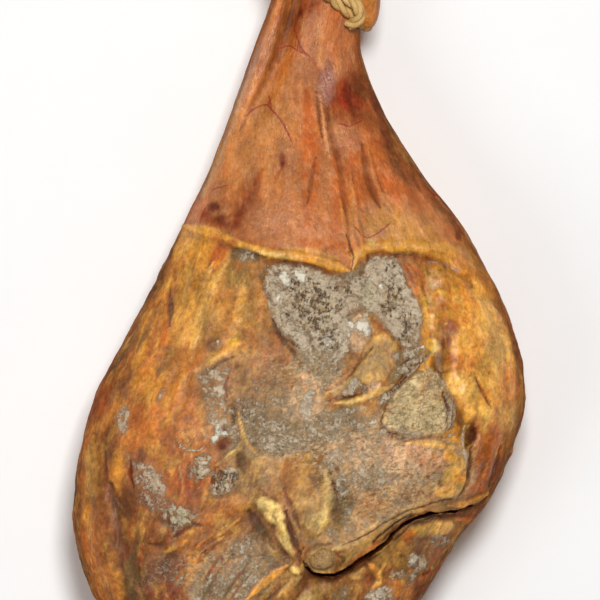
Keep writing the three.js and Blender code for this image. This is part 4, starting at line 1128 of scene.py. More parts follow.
def signed_distance(outline, px, py):
    """Distance to a closed outline, positive inside it."""
    distance, _, _ = nearest_on_line((*outline, outline[0]), px, py)
    inside = np.zeros(len(px), bool)
    for (ax, ay), (bx, by) in zip(outline, (*outline[1:], outline[0])):
        crosses = (ay > py) != (by > py)
        rise = by - ay if by != ay else 1.0
        inside ^= crosses & (px < ax + (py - ay) * (bx - ax) / rise)
    return np.where(inside, distance, -distance)


def feature_bounds(feature):
    """The pixels a feature can touch: left, top, right and bottom."""
    if "at" in feature:
        (x, y), reach = feature["at"], max(feature["size"]) * 1.9
        return x - reach, y - reach, x + reach, y + reach
    points = np.array(feature.get("line") or feature["outline"], float)
    reach = 2.2 * feature["width"] if "line" in feature else 12.0
    return (*(points.min(0) - reach), *(points.max(0) + reach))


def feature_share(feature, px, py, noise):
    """How much of a feature covers each point, from 0 to 1."""
    soft, ragged = feature["soft"], feature["ragged"]
    if "outline" in feature:
        depth = signed_distance(feature["outline"], px, py) + 4.0 * ragged * noise
        return smooth(0.5 + depth / (4.0 * soft))
    if "line" in feature:
        distance, _, along = nearest_on_line(feature["line"], px, py)
        spans = len(feature["line"]) - 1
        taper = 0.35 + 0.65 * smooth(np.minimum(along, spans - along) / min(1.0, spans / 2))
        reach = distance / (feature["width"] * taper)
    else:
        (cx, cy), (rx, ry), a = feature["at"], feature["size"], math.radians(feature["turn"])
        dx, dy = px - cx, py - cy
        along, across = dx * math.cos(a) + dy * math.sin(a), dy * math.cos(a) - dx * math.sin(a)
        reach = np.hypot(along / rx, across / ry)
    return 1.0 - smooth((reach + ragged * noise - 1.0 + soft) / (2.0 * soft))


def lay(skin, stuff, share, where=slice(None)):
    """Lays a stuff over points of the skin, as much as its share at each."""
    for channel, value in STUFFS[stuff].items():
        rows = skin[channel][where]
        skin[channel][where] = rows + (value - rows) * (share[:, None] if rows.ndim == 2 else share)


def base_skin(points, px, py):
    """The ground under the features: rind above its cut edge, flesh and fat below it."""
    count = len(points)
    skin = {"tint": np.zeros((count, 3)), "cover": np.zeros((count, 3)) + STUFFS["mould"]["cover"]}
    channels = ("grease", "mould", "bloom", "pits", "crumbs", "crackle", "calm")
    skin.update({channel: np.zeros(count) for channel in channels})
    whole = np.ones(count)
    wander = cloud_noise(points, 30.0, 40)
    lay(skin, "flesh", whole)
    lay(skin, "flesh brown", smooth(cloud_noise(points, 22.0, 43) * 1.6) * 0.5)
    left = smooth((LEFT_FAT_EDGE - px + 12 * wander) / 50)
    lay(skin, "flesh orange", left * 0.9)
    lay(skin, "fat", left * smooth(0.4 + 1.3 * cloud_noise(points, (14.0, 40.0, 20.0), 45)) * 0.9)
    lay(skin, "fat orange", left * smooth(cloud_noise(points, (8.0, 22.0, 12.0), 46) * 1.6 - 0.2) * 0.8)
    lay(skin, "flesh red", left * smooth(cloud_noise(points, (9.0, 26.0, 12.0), 48) * 1.6 - 0.5) * 0.6)
    lay(skin, "fat", smooth((px - RIGHT_FAT_EDGE + 8 * wander) / 20) * smooth((RIGHT_FAT_END - py) / 30))
    lay(skin, "flesh brown", smooth((py - BUTT_START) / 60) * 0.6)
    distance, side, _ = nearest_on_line(RIND_EDGE, points[:, 0], points[:, 1])
    signed = np.where((side > 0) | (points[:, 1] > RIND_EDGE[0][1]), distance, -distance)
    on_rind = smooth(signed / 2.4 + 0.5)
    lay(skin, "rind", on_rind)
    lay(skin, "rind amber", on_rind * smooth(0.3 + 0.7 * wander))
    skin["calm"] = on_rind
    return skin


def paint_sides(skin, points, normals):
    """The steep flanks, painted browner than the flesh side: partly the rind's brown, partly painted shade
    where they turn from the light; and the smooth lobe beside the hock.
    """
    x, y, _ = points.T
    pale_rim = smooth((-x - 10) / 30) * smooth((y - SHANK_START) / SHANK_BLEND)
    steep = smooth((0.84 - 0.08 * smooth((x - 70) / 40) - 0.3 * pale_rim - normals[:, 2]) / 0.62)
    # Painted shade with the rind's brown: the steeper the skin, the browner.
    lay(skin, "rind brown and shade", steep * (0.78 + 0.2 * cloud_noise(points, 16.0, 41)))
    skin["grease"] *= 1 - 0.7 * steep
    lobe = smooth((x - LOBE_CORNER[0]) / 5) * smooth((y - LOBE_CORNER[1]) / 5)
    lay(skin, "lobe", lobe)
    skin["calm"] = np.maximum(skin["calm"] * (1 - 0.8 * steep), lobe)


def paint_underside(skin, points, normals):
    """The back, which isn't seen in the photograph, as plain rind with darker and yellower places."""
    under = smooth((0.04 - normals[:, 2]) / 0.3)
    lay(skin, "rind tan", under)
    lay(skin, "ochre", under * 0.5 * smooth(0.5 + cloud_noise(points, 45.0, 44)))
    lay(skin, "rind brown and shade", under * 0.8 * smooth(0.4 + cloud_noise(points, 28.0, 47) * 2))
    lay(skin, "flesh brown", under * 0.5 * smooth(cloud_noise(points, 24.0, 49) * 2 - 0.3))
    lay(skin, "mould", under * 0.42 * smooth(cloud_noise(points, 34.0, 50) * 2 - 0.2))


def paint_skin(points, normals):
    """What each point of the skin is made of, and how far the features lift it."""
    px = ORIGIN_PIXEL[0] + points[:, 0] / PIXEL
    py = ORIGIN_PIXEL[1] - points[:, 1] / PIXEL
    noises = [0.8 * cloud_noise(points, 8.0, 60 + k) + 0.5 * cloud_noise(points, 3.2, 80 + k, 2)
              for k in range(4)]
    upward = smooth((normals[:, 2] + 0.1) / 0.3)
    skin = base_skin(points, px, py)
    lift = np.zeros(len(points))
    for k, feature in enumerate(FEATURES):
        left, top, right, bottom = feature_bounds(feature)
        near = np.flatnonzero((px > left) & (px < right) & (py > top) & (py < bottom) & (upward > 0))
        share = feature_share(feature, px[near], py[near], noises[k % 4][near]) * upward[near]
        lay(skin, feature["stuff"], share * feature["share"], near)
        lift[near] += feature["height"] * share
    paint_sides(skin, points, normals)
    paint_underside(skin, points, normals)
    for name, lines, depth in (("vein", VEINS, 0.25), ("fissure", FISSURES, -0.9)):
        side, near = thin_lines(lines, px + 1.6 * noises[0], py + 1.6 * noises[1])
        skin[name + "_side"], skin[name + "_near"] = side, near * upward
        lift += depth * upward * np.exp(-((side / 1.3) ** 2)) * (near > 0)
    return skin, lift


def thin_lines(lines, px, py):
    """Signed distance in mm to the nearest of some lines, and 1 beside it fading to 0 away from it."""
    best, signed = np.full(len(px), np.inf), np.full(len(px), 9.0)
    for points in lines:
        distance, side, _ = nearest_on_line(points, px, py)
        nearer = distance < best
        best = np.where(nearer, distance, best)
        signed = np.where(nearer, distance * side * PIXEL, signed)
    return np.clip(signed, -9.0, 9.0), np.clip(2.4 - best * PIXEL, 0.0, 1.0)


def fine_relief(points, grain, skin):
    """Small unevenness by what the skin is made of: mould crust, fibres, skin folds and fat lobules."""
    mould = smooth(skin["mould"])
    shank = smooth((points[:, 1] - SHANK_START) / SHANK_BLEND)
    flesh = 1 - shank
    crust = mould * (0.5 * ridge_noise(points, 5.5, 11) + 0.3 * cloud_noise(points, 2.6, 12, 2))
    pitted = skin["pits"] * -0.5 * ridge_noise(points, (3.2, 6.5, 4.0), 15, 2)
    lumps = flesh * (1.3 * cloud_noise(points, 20.0, 21) + 0.7 * cloud_noise(points, 8.0, 23))
    fibres = flesh * (1 - 0.6 * mould) * (ridge_noise(grain, (7.0, 30.0, 9.0), 31, 2) - 0.4)
    folded = shank * smooth((FOLDS_END - points[:, 1]) / FOLDS_FADE)
    folds = folded * 0.6 * (ridge_noise(grain, (12.0, 70.0, 14.0), 33, 2) - 0.35)
    waves = 0.35 * cloud_noise(points, 14.0, 35) + 0.18 * cloud_noise(points, (3.0, 7.0, 4.0), 36, 2)
    return crust + pitted + lumps + fibres + folds + shank * waves


# Materials

class Nodes:
    """Builds a tree of nodes: each method but put adds one, and all but node give back its output."""

    def __init__(self, tree):
        self.tree = tree

    def node(self, kind, inputs=None, **settings):
        node = self.tree.nodes.new(kind)
        for name, value in settings.items():
            setattr(node, name, value)
        for key, value in (inputs or {}).items():
            self.put(node.inputs[key], value)
        return node

    def put(self, socket, value):
        """Links an output to a socket, or sets a plain number, colour or vector on it."""
        if isinstance(value, bpy.types.NodeSocket):
            self.tree.links.new(value, socket)
        elif socket.type == "RGBA":
            socket.default_value = (*tuple(value)[:3], 1.0)
        else:
            socket.default_value = value

    def math(self, operation, a, b=0.0):
        return self.node("ShaderNodeMath", {0: a, 1: b}, operation=operation).outputs[0]

    def vectors(self, operation, a, b):
        return self.node("ShaderNodeVectorMath", {0: a, 1: b}, operation=operation).outputs[0]

    def scaled(self, vector, factor):
        return self.node("ShaderNodeVectorMath", {0: vector, "Scale": factor}, operation="SCALE").outputs[0]


class Shading(Nodes):
    """Builds one material."""

    def __init__(self, name):
        self.material = bpy.data.materials.new(name)
        self.material.use_nodes = True
        super().__init__(self.material.node_tree)
        self.shader = self.tree.nodes["Principled BSDF"]
        self.place = self.node("ShaderNodeTexCoord").outputs["Object"]

    def attribute(self, name, output="Fac"):
        node = self.node("ShaderNodeAttribute", attribute_type="GEOMETRY", attribute_name=name)
        return node.outputs[output]

    def noise(self, size_mm, detail=3.0, roughness=0.55, stretch=(1.0, 1.0, 1.0), turn=0.0, place=None,
              warp=0.0):
        """Noise from 0 to 1 with grains of a size, made longer along an axis where its stretch is under 1."""
        place = place or self.place
        if stretch != (1.0, 1.0, 1.0):
            turned = self.node("ShaderNodeMapping", {"Vector": place, "Rotation": (0, 0, math.radians(turn))})
            place = self.node("ShaderNodeMapping", {"Vector": turned.outputs[0], "Scale": stretch}).outputs[0]
        values = {"Vector": place, "Scale": 1.0 / (size_mm * MM), "Detail": detail, "Roughness": roughness,
                  "Distortion": warp}
        return self.node("ShaderNodeTexNoise", values).outputs["Fac"]

    def cracks(self, size_mm):
        """Distance to the borders of cells of a size, in cells."""
        wander = self.node("ShaderNodeTexNoise", {"Vector": self.place, "Scale": 400.0}).outputs["Color"]
        place = self.vectors("ADD", self.place, self.scaled(wander, 0.0016))
        cells = self.node("ShaderNodeTexVoronoi", {"Vector": place, "Scale": 1.0 / (size_mm * MM)},
                          feature="DISTANCE_TO_EDGE")
        return cells.outputs["Distance"]

    def ranged(self, value, low, high, to_low=0.0, to_high=1.0):
        values = {"Value": value, "From Min": low, "From Max": high, "To Min": to_low, "To Max": to_high}
        return self.node("ShaderNodeMapRange", values, interpolation_type="SMOOTHSTEP").outputs["Result"]

    def product(self, first, *others):
        for other in others:
            first = self.math("MULTIPLY", first, other)
        return first

    def total(self, first, *others):
        for other in others:
            first = self.math("ADD", first, other)
        return first

    def swing(self, amount, noise):
        """A noise as a number to either side of 0, its whole range as wide as an amount."""
        return self.math("MULTIPLY", self.math("SUBTRACT", noise, 0.5), amount)

    def mix(self, share, a, b):
        return self.node("ShaderNodeMix", {0: share, 6: a, 7: b}, data_type="RGBA").outputs[2]

    def paint(self, share, under, colour):
        """Lays an sRGB colour of 0 to 255 over another, as much as its share."""
        return self.mix(share, under, to_linear(colour))

    def dappled(self, under, colour, noise, low, high, share, *masks):
        """Paints a colour where a noise runs from low to high and the masks let it, up to a share."""
        return self.paint(self.product(self.ranged(noise, low, high, 0.0, share), *masks), under, colour)

    def surface(self, colour, roughness):
        self.put(self.shader.inputs["Base Color"], colour)
        self.put(self.shader.inputs["Roughness"], roughness)

    def raise_surface(self, height, depth_mm, strength):
        bump = self.node("ShaderNodeBump", {"Height": height, "Strength": strength,
                                            "Distance": depth_mm * MM})
        self.put(self.shader.inputs["Normal"], bump.outputs["Normal"])


def thin_line(s, name, half_width):
    """A mask of the thin lines painted on the points by their distance, of uneven width in mm."""
    side, near = s.attribute(name + "_side"), s.attribute(name + "_near")
    wide = s.ranged(s.noise(7.0, 2.0), 0.3, 0.7, half_width * 0.5, half_width * 1.5)
    across = s.math("DIVIDE", s.math("ABSOLUTE", side), wide)
    return s.product(s.ranged(across, 0.55, 1.25, 1.0, 0.0), near)


def ground_colour(s, settings):
    """Rind, fat or flesh: the painted tint with yellow, red and brown places and grain, painted shade in the
    hollows and painted light on the crests.
    """
    grain, cavity = s.attribute("grain", "Vector"), s.attribute("cavity")
    calm = s.attribute("calm")
    lively = s.ranged(calm, 0.0, 1.0, 1.0, 0.7)
    clear = s.ranged(s.attribute("mould"), 0.05, 0.4, 1.0, 0.25)
    broad = s.ranged(s.noise(16.0, 4.0, 0.55, (1.0, 0.5, 1.0), place=grain), 0.36, 0.64, 0.80, 1.18)
    blotches = s.ranged(s.noise(6.0, 5.0, 0.62), 0.36, 0.64, 0.89, 1.12)
    streaks = s.ranged(s.noise(9.0, 4.0, 0.62, (1.0, 0.22, 0.5), place=grain), 0.34, 0.66, 0.92, 1.08)
    fine = s.ranged(s.noise(1.7, 4.0, 0.7, (1.0, 0.6, 1.0), place=grain), 0.36, 0.64, 0.85, 1.15)
    # Painted light and shade: by the cavity, crests come out lighter and hollows darker.
    light = s.product(broad, blotches, streaks, fine, s.math("ADD", s.math("MULTIPLY", cavity, 0.36), 1.0))
    varied = s.product(s.math("SUBTRACT", light, 1.0), settings.contrast, lively)
    even = s.math("ADD", varied, 1.0)
    colour = s.attribute("tint", "Color")
    yellow = s.noise(10.0, 6.0, 0.7, (1.0, 0.5, 1.0), place=grain)
    uncalm = s.ranged(calm, 0.0, 0.15, 1.0, 0.2)
    colour = s.dappled(colour, (222, 172, 78), yellow, 0.48, 0.62, 0.34, clear, uncalm)
    red = s.noise(11.0, 6.0, 0.7, (1.0, 0.5, 1.0), 20.0, grain)
    colour = s.dappled(colour, (162, 72, 34), red, 0.50, 0.64, 0.36, lively, clear)
    pink = s.noise(8.0, 5.0, 0.66, (1.0, 0.7, 1.0), 0.0, grain)
    colour = s.dappled(colour, (216, 150, 98), pink, 0.48, 0.62, 0.36, calm)
    brown = s.noise(4.2, 6.0, 0.75)
    colour = s.dappled(colour, (112, 66, 34), brown, 0.52, 0.64, 0.32, lively, lively)
    colour = s.scaled(colour, even)
    # Painted shade in the deepest hollows.
    colour = s.paint(s.ranged(cavity, -0.9, -0.1, 0.5, 0.0), colour, (96, 44, 20))
    colour = s.paint(s.product(thin_line(s, "vein", 0.6), 0.75), colour, (140, 30, 16))
    # Painted shade in the fissures.
    return s.paint(s.product(thin_line(s, "fissure", 0.6), 0.7), colour, (74, 36, 18))


def crumbled(s, colour):
    """The dry crumbly cut face: dark pores, pale crumbs and a grey bloom in patches."""
    crumbs = s.attribute("crumbs")
    colour = s.dappled(colour, (150, 132, 104), s.noise(6.0, 6.0, 0.74), 0.48, 0.60, 0.4, crumbs)
    pale = s.noise(2.0, 6.0, 0.78, (0.5, 1.0, 1.0), -14.0)
    colour = s.dappled(colour, (216, 188, 148), pale, 0.50, 0.60, 0.7, crumbs)
    dark = s.noise(2.2, 6.0, 0.8, (0.5, 1.0, 1.0), -14.0)
    return s.dappled(colour, (84, 56, 34), dark, 0.48, 0.40, 0.7, crumbs)


def mould_cover(s):
    """The mould's own colour: grey and green-grey, with pale powdery and dark damp places."""
    cloudy = s.ranged(s.noise(5.0, 8.0, 0.8), 0.38, 0.62, 0.82, 1.30)
    cover = s.scaled(s.attribute("cover", "Color"), cloudy)
    cover = s.dappled(cover, (214, 199, 172), s.noise(4.6, 6.0, 0.75), 0.50, 0.60, 0.6)
    cover = s.dappled(cover, (96, 70, 48), s.noise(2.2, 7.0, 0.82), 0.45, 0.38, 0.7)
    return s.dappled(cover, (160, 118, 76), s.noise(8.0, 6.0, 0.76), 0.52, 0.62, 0.45)


def ham_material(settings):
    """The skin's material: painted ground, crisp ragged mould, dark pits, pale blooms and a cracked crust."""
    s = Shading("cured_ham_surface")
    mould, pits, bloom = s.attribute("mould"), s.attribute("pits"), s.attribute("bloom")
    cavity, grease = s.attribute("cavity"), s.attribute("grease")
    colour = crumbled(s, ground_colour(s, settings))

    torn = s.swing(3.4 * settings.mould, s.noise(3.6, 8.0, 0.76, warp=0.8))
    holes = s.swing(2.2 * settings.mould, s.noise(9.0, 6.0, 0.7))
    grown = s.total(mould, torn, holes, s.math("MULTIPLY", cavity, 0.12))
    crisp = s.ranged(grown, 0.24, 0.80)
    hazy = s.product(s.ranged(grown, 0.30, 1.0), s.ranged(mould, 0.03, 0.25))
    film = s.math("MAXIMUM", s.product(crisp, s.ranged(mould, 0.12, 0.42)), hazy)
    colour = s.mix(s.product(film, 0.9), colour, mould_cover(s))

    clumps = s.swing(0.55, s.noise(6.0))
    flakes = s.total(s.noise(1.8, 6.0, 0.74, (1.0, 0.55, 0.8), 10.0), s.product(pits, 0.13), clumps)
    pitted = s.product(s.ranged(flakes, 0.60, 0.70), s.ranged(pits, 0.05, 0.4))
    colour = s.paint(s.product(pitted, 0.85), colour, (74, 50, 36))
    # Yellow glints among the dark pits: painted highlights.
    glints = s.noise(1.5, 4.0, 0.66, (1.0, 0.42, 0.8), 10.0)
    yellow = s.product(s.ranged(glints, 0.54, 0.62), s.ranged(pits, 0.72, 0.98))
    colour = s.paint(s.product(yellow, 0.65), colour, (208, 172, 108))

    powder = s.swing(3.6, s.noise(2.6, 7.0, 0.78))
    white = s.ranged(s.total(bloom, powder), 0.42, 0.66)
    white = s.product(white, s.ranged(bloom, 0.05, 0.3))
    colour = s.paint(s.product(white, 0.92), colour, (234, 224, 202))

    crackle = s.attribute("crackle")
    bands = s.noise(1.5, 5.0, 0.7, (0.4, 1.0, 1.0), -14.0)
    broken = s.ranged(s.noise(7.0), 0.42, 0.58)
    cracks = s.product(s.ranged(s.cracks(2.4), 0.14, 0.02), crackle, broken)
    cracks = s.math("MAXIMUM", cracks, s.product(s.ranged(bands, 0.54, 0.62), crackle))
    colour = s.paint(s.product(cracks, 0.5), colour, (112, 88, 52))

    sheen = s.ranged(s.noise(4.0), 0.35, 0.65, -0.08, 0.10)
    skin_rough = s.total(s.ranged(grease, 0.0, 1.0, 0.84, settings.skin_roughness), sheen)
    dry = s.math("MAXIMUM", film, s.math("MAXIMUM", white, crackle))
    bare_share = s.math("SUBTRACT", 1.0, dry)
    s.surface(colour, s.total(s.product(skin_rough, bare_share), s.product(dry, 0.9)))
    s.put(s.shader.inputs["Specular IOR Level"], s.ranged(grease, 0.1, 1.0, 0.08, 0.55))

    grain = s.attribute("grain", "Vector")
    wrinkles = s.noise(5.0, 4.0, 0.6, (1.0, 0.4, 0.7), place=grain)
    folds = s.noise(2.8, 5.0, 0.66, (1.0, 0.55, 1.0), place=grain)
    crumb = s.product(s.noise(2.0, 5.0, 0.7), s.ranged(film, 0.0, 1.0, 0.45, 1.2))
    height = s.total(s.product(wrinkles, 0.8), s.product(folds, s.attribute("calm"), 1.5), crumb,
                     s.product(film, 0.35), s.product(white, 0.5), s.product(pitted, -0.5),
                     s.product(cracks, -0.4))
    s.raise_surface(height, 0.9, 0.8)
    return s.material


def bone_material(settings):
    """Weathered bone: tan, with small dark pores and pale worn places."""
    s = Shading("weathered_bone")
    wear = s.noise(4.5, 5.0, 0.65)
    colour = s.dappled(tuple(settings.bone_colour), (140, 102, 54), wear, 0.42, 0.60, 0.8)
    colour = s.dappled(colour, (196, 164, 108), s.noise(6.0), 0.54, 0.66, 0.6)
    pores = s.noise(1.6, 5.0, 0.7)
    colour = s.dappled(colour, (78, 52, 30), pores, 0.46, 0.36, 0.75)
    s.surface(colour, s.ranged(wear, 0.3, 0.7, 0.5, 0.78))
    s.raise_surface(s.total(pores, s.product(wear, 0.8)), 0.7, 0.7)
    return s.material


def rope_material(settings):
    """Pale laid rope, greasy from handling: darker in blotches, with painted shade between the yarns."""
    s = Shading("hock_rope_fibre")
    clean = tuple(settings.rope_colour)
    colour = s.dappled(clean, (176, 120, 60), s.noise(8.0, 3.0, 0.6), 0.46, 0.66, 0.65)
    fibre = s.noise(0.9, 4.0, 0.7)
    colour = s.dappled(colour, (128, 86, 46), fibre, 0.48, 0.36, 0.5)
    # Painted shade in the hollows between the strands and yarns.
    groove_shade = s.ranged(s.attribute("cavity"), -0.8, 0.1, 0.85, 0.0)
    s.surface(s.paint(groove_shade, colour, (92, 56, 28)), 0.72)
    s.raise_surface(fibre, 0.3, 0.6)
    return s.material


def floor_material(settings):
    """A pale matt sweep with the faintest unevenness."""
    s = Shading("pale_floor")
    uneven = s.ranged(s.noise(60.0, 2.0), 0.3, 0.7, 0.0, 0.1)
    s.surface(s.mix(uneven, tuple(settings.floor_colour), (0.86, 0.86, 0.85)), 0.9)
    return s.material


# Pieces

def dress(piece, material, nodes_replaced):
    piece.data.materials.clear()
    piece.data.materials.append(material)
    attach(piece, "root")
    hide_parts(*nodes_replaced)


def write_points(mesh, points):
    mesh.vertices.foreach_set("co", (points * MM).ravel())
    mesh.update()


def write_attribute(mesh, name, values):
    """A value on each point, as a number, a vector or a colour by its name and shape."""
    values = np.asarray(values, float)
    if values.ndim == 1:
        mesh.attributes.new(name, "FLOAT", "POINT").data.foreach_set("value", values)
    elif name in ("tint", "cover"):
        colours = np.column_stack([values, np.ones(len(values))])
        mesh.attributes.new(name, "FLOAT_COLOR", "POINT").data.foreach_set("color", colours.ravel())
    else:
        mesh.attributes.new(name, "FLOAT_VECTOR", "POINT").data.foreach_set("vector", values.ravel())


def write_cavity(mesh, rounds, span_mm):
    """How far each point stands over its blurred surroundings: 1 for a crest, -1 for a hollow."""
    points, normals = vertex_arrays(mesh)
    blurred = neighbour_mean(mesh, points, rounds)
    height = np.sum((points - blurred) * normals, axis=1) / span_mm
    write_attribute(mesh, "cavity", np.clip(height, -1.0, 1.0))


def make_ham(settings):
    ham = leg_mesh(settings.step / MM, settings.under_coarseness)
    ham.name = "dressed_ham"
    cut_and_join(ham, lump_mesh("lobe", HOCK_LOBE, 40, 56), "UNION")
    cut_and_join(ham, gap_mesh(), "DIFFERENCE")
    mesh = ham.data
    points, normals = vertex_arrays(mesh)
    grain = straightened(points)
    skin, lift = paint_skin(points, normals)
    rise = lift + fine_relief(points, grain, skin) * settings.relief
    resting = smooth(points[:, 2] / RESTING_HEIGHT)
    moved = points + normals * (rise * resting)[:, None]
    moved[:, 2] = np.maximum(moved[:, 2], 0.0)
    write_points(mesh, moved)
    for name, values in skin.items():
        write_attribute(mesh, name, values)
    write_attribute(mesh, "grain", grain * MM)
    write_cavity(mesh, 6, 0.8)
    mesh.shade_smooth()
    mesh.set_sharp_from_angle(angle=math.radians(SHARP_ANGLE))
    dress(ham, ham_material(settings), ("ham",))


def make_bone_end(settings):
    bone = lump_mesh("dressed_bone_end", BONE_END, 48, 72)
    points, normals = vertex_arrays(bone.data)
    rough = 0.35 * cloud_noise(points, 6.0, 71) + 0.16 * cloud_noise(points, 2.2, 73, 2)
    write_points(bone.data, points + normals * rough[:, None])
    bone.data.shade_smooth()
    dress(bone, bone_material(settings), ("bone_end",))


# Rope

def outward_at(u, angle):
    round_it = leg_points(u, angle + 0.05, False) - leg_points(u, angle - 0.05, False)
    along = leg_points(u + 0.1, angle, False) - leg_points(u - 0.1, angle, False)
    normal = np.cross(along, round_it)
    return normal / np.linalg.norm(normal)


def round_waist(degrees, shift, height):
    """A point at a height over the skin, on a turn round the waist, a shift away from the rope's plane."""
    angle = np.array(math.radians(degrees))

    def off(v):
        x, y, z = leg_points(np.array(v), angle, False)
        fall = y - WAIST["y"] - WAIST["slope"] * (x - WAIST["x"]) + WAIST["lean"] * (z - WAIST["z"])
        return fall / math.hypot(1, WAIST["slope"]) - shift

    u = np.array(zero_between(LAST * 0.55, float(LAST), off))
    return leg_points(u, angle, False) + height * outward_at(u, angle)


def turns_line(radius):
    tail = KNOT["spread"] * 0.6
    steps = 90 * ROPE_TURNS
    points = []
    for i in range(steps + 1):
        along = -tail + (360 * ROPE_TURNS + 2 * tail) * i / steps
        turn = along / 360 - ROPE_TURNS / 2
        near = 1 - float(smooth((abs((along + 180) % 360 - 180) - KNOT["flat"]) / KNOT["spread"]))
        height = radius + near * (KNOT["lift"] + KNOT["crown"] * (1 - abs(turn)))
        points.append(round_waist(KNOT["angle"] + along, ROPE_PITCH * turn * (1 - near / 2), height))
    return np.array(points)


def knot_line(radius):
    def at(degrees, height):
        return round_waist(KNOT["angle"] + degrees, 0, height)

    middle = at(0, radius + KNOT["lift"] + KNOT["crown"] / 2)
    along = at(8, 12) - at(-8, 12)
    along /= np.linalg.norm(along)
    up = middle - at(0, 0)
    up /= np.linalg.norm(up)
    across = np.cross(up, along)
    across /= np.linalg.norm(across)
    turn = np.linspace(-KNOT["wraps"] / 2, KNOT["wraps"] / 2, KNOT["wraps"] * 36 + 1)[:, None]
    clear = radius * 1.2
    return (middle + along * KNOT["pitch"] * turn
            + across * (ROPE_PITCH / 2 + clear) * np.cos(2 * math.pi * turn)
            + up * (clear + KNOT["crown"] / 2) * np.sin(2 * math.pi * turn))


def tucked_loop():
    """The bight of rope that shows over the front turn, beside the lobe."""
    places = ((340, -8, 82), (348, 0, 86), (357, 6, 88), (361, 15, 87), (357, 23, 83), (348, 25, 77))
    points = [(*photo_to_mm(px, py), z) for px, py, z in places]
    return even_line(points, 40, 5)


def rope_tree():
    """Geometry Nodes: every spline becomes a rope of strands that wind round it, each with twisted yarns."""
    tree = bpy.data.node_groups.new("laid_rope", "GeometryNodeTree")
    face = tree.interface
    face.new_socket("Geometry", in_out="INPUT", socket_type="NodeSocketGeometry")
    for name, default in (("Strands", 3), ("Strand offset", 0.0022), ("Strand radius", 0.0019), ("Lay", 0.027),
                          ("Yarn lay", 0.011), ("Yarns", 6), ("Step", 0.0011)):
        kind = "NodeSocketInt" if isinstance(default, int) else "NodeSocketFloat"
        face.new_socket(name, in_out="INPUT", socket_type=kind).default_value = default
    face.new_socket("Material", in_out="INPUT", socket_type="NodeSocketMaterial")
    face.new_socket("Geometry", in_out="OUTPUT", socket_type="NodeSocketGeometry")
    nodes = Nodes(tree)
    given = nodes.node("NodeGroupInput").outputs
    even = nodes.node("GeometryNodeResampleCurve", {"Curve": given["Geometry"], "Length": given["Step"]},
                      mode="LENGTH")
    copies = nodes.node("GeometryNodeDuplicateElements",
                        {"Geometry": even.outputs[0], "Amount": given["Strands"]}, domain="SPLINE").outputs
    along = nodes.node("GeometryNodeSplineParameter").outputs["Length"]
    first = nodes.math("DIVIDE", copies["Duplicate Index"], given["Strands"])
    turns = nodes.math("ADD", first, nodes.math("DIVIDE", along, given["Lay"]))
    phase = nodes.math("MULTIPLY", turns, 2 * math.pi)
    normal = nodes.node("GeometryNodeInputNormal").outputs[0]
    tangent = nodes.node("GeometryNodeInputTangent").outputs[0]
    sideways = nodes.vectors("CROSS_PRODUCT", tangent, normal)
    swing = nodes.vectors("ADD", nodes.scaled(normal, nodes.math("COSINE", phase)),
                          nodes.scaled(sideways, nodes.math("SINE", phase)))
    offset = nodes.scaled(swing, given["Strand offset"])
    place = nodes.node("GeometryNodeSetPosition", {"Geometry": copies["Geometry"], "Offset": offset})
    twist = nodes.math("MULTIPLY", nodes.math("DIVIDE", along, given["Yarn lay"]), -2 * math.pi)
    tilt = nodes.node("GeometryNodeSetCurveTilt", {"Curve": place.outputs[0], "Tilt": twist})
    radius = given["Strand radius"]
    section = nodes.node("GeometryNodeCurveStar", {"Points": given["Yarns"], "Outer Radius": radius,
                                                   "Inner Radius": nodes.math("MULTIPLY", radius, 0.8)})
    sweep = nodes.node("GeometryNodeCurveToMesh", {"Curve": tilt.outputs[0], "Fill Caps": True,
                                                   "Profile Curve": section.outputs["Curve"]})
    solid = nodes.node("GeometryNodeRealizeInstances", {0: sweep.outputs[0]})
    finish = nodes.node("GeometryNodeSetMaterial",
                        {"Geometry": solid.outputs[0], "Material": given["Material"]})
    nodes.node("NodeGroupOutput", {"Geometry": finish.outputs[0]})
    return tree


def make_rope(settings):
    radius = settings.rope_radius / MM
    curve = bpy.data.curves.new("rope_line", "CURVE")
    curve.dimensions = "3D"
    for points in (turns_line(radius), knot_line(radius), tucked_loop()):
        spline = curve.splines.new("POLY")
        spline.points.add(len(points) - 1)
        spline.points.foreach_set("co", np.column_stack([points * MM, np.ones(len(points))]).ravel())
    rope = bpy.data.objects.new("dressed_rope", curve)
    bpy.context.scene.collection.objects.link(rope)
    material = rope_material(settings)
    tree = rope_tree()
    laid = rope.modifiers.new("laid rope", "NODES")
    laid.node_group = tree
    sizes = {"Strands": settings.rope_strands, "Strand offset": radius * STRAND_OFFSET * MM,
             "Strand radius": radius * STRAND_RADIUS * MM, "Lay": settings.rope_lay, "Material": material}
    for socket in tree.interface.items_tree:
        if socket.in_out == "INPUT" and socket.name in sizes:
            laid[socket.identifier] = sizes[socket.name]
    rope.update_tag()
    bpy.context.view_layer.update()
    rope = plain_mesh(rope)
    rope.name = "dressed_rope"
    rope.data.shade_smooth()
    write_cavity(rope.data, 10, 0.35)
    dress(rope, material, ("rope",))


# Stage

def area_light(name, place, power, size):
    data = bpy.data.lights.new(name, "AREA")
    data.energy, data.size = power, size
    lamp = bpy.data.objects.new(name, data)
    lamp.location = place
    lamp.rotation_mode = "QUATERNION"
    lamp.rotation_quaternion = (Vector(LAMP_AIM) - Vector(place)).to_track_quat("-Z", "Y")
    bpy.context.scene.collection.objects.link(lamp)


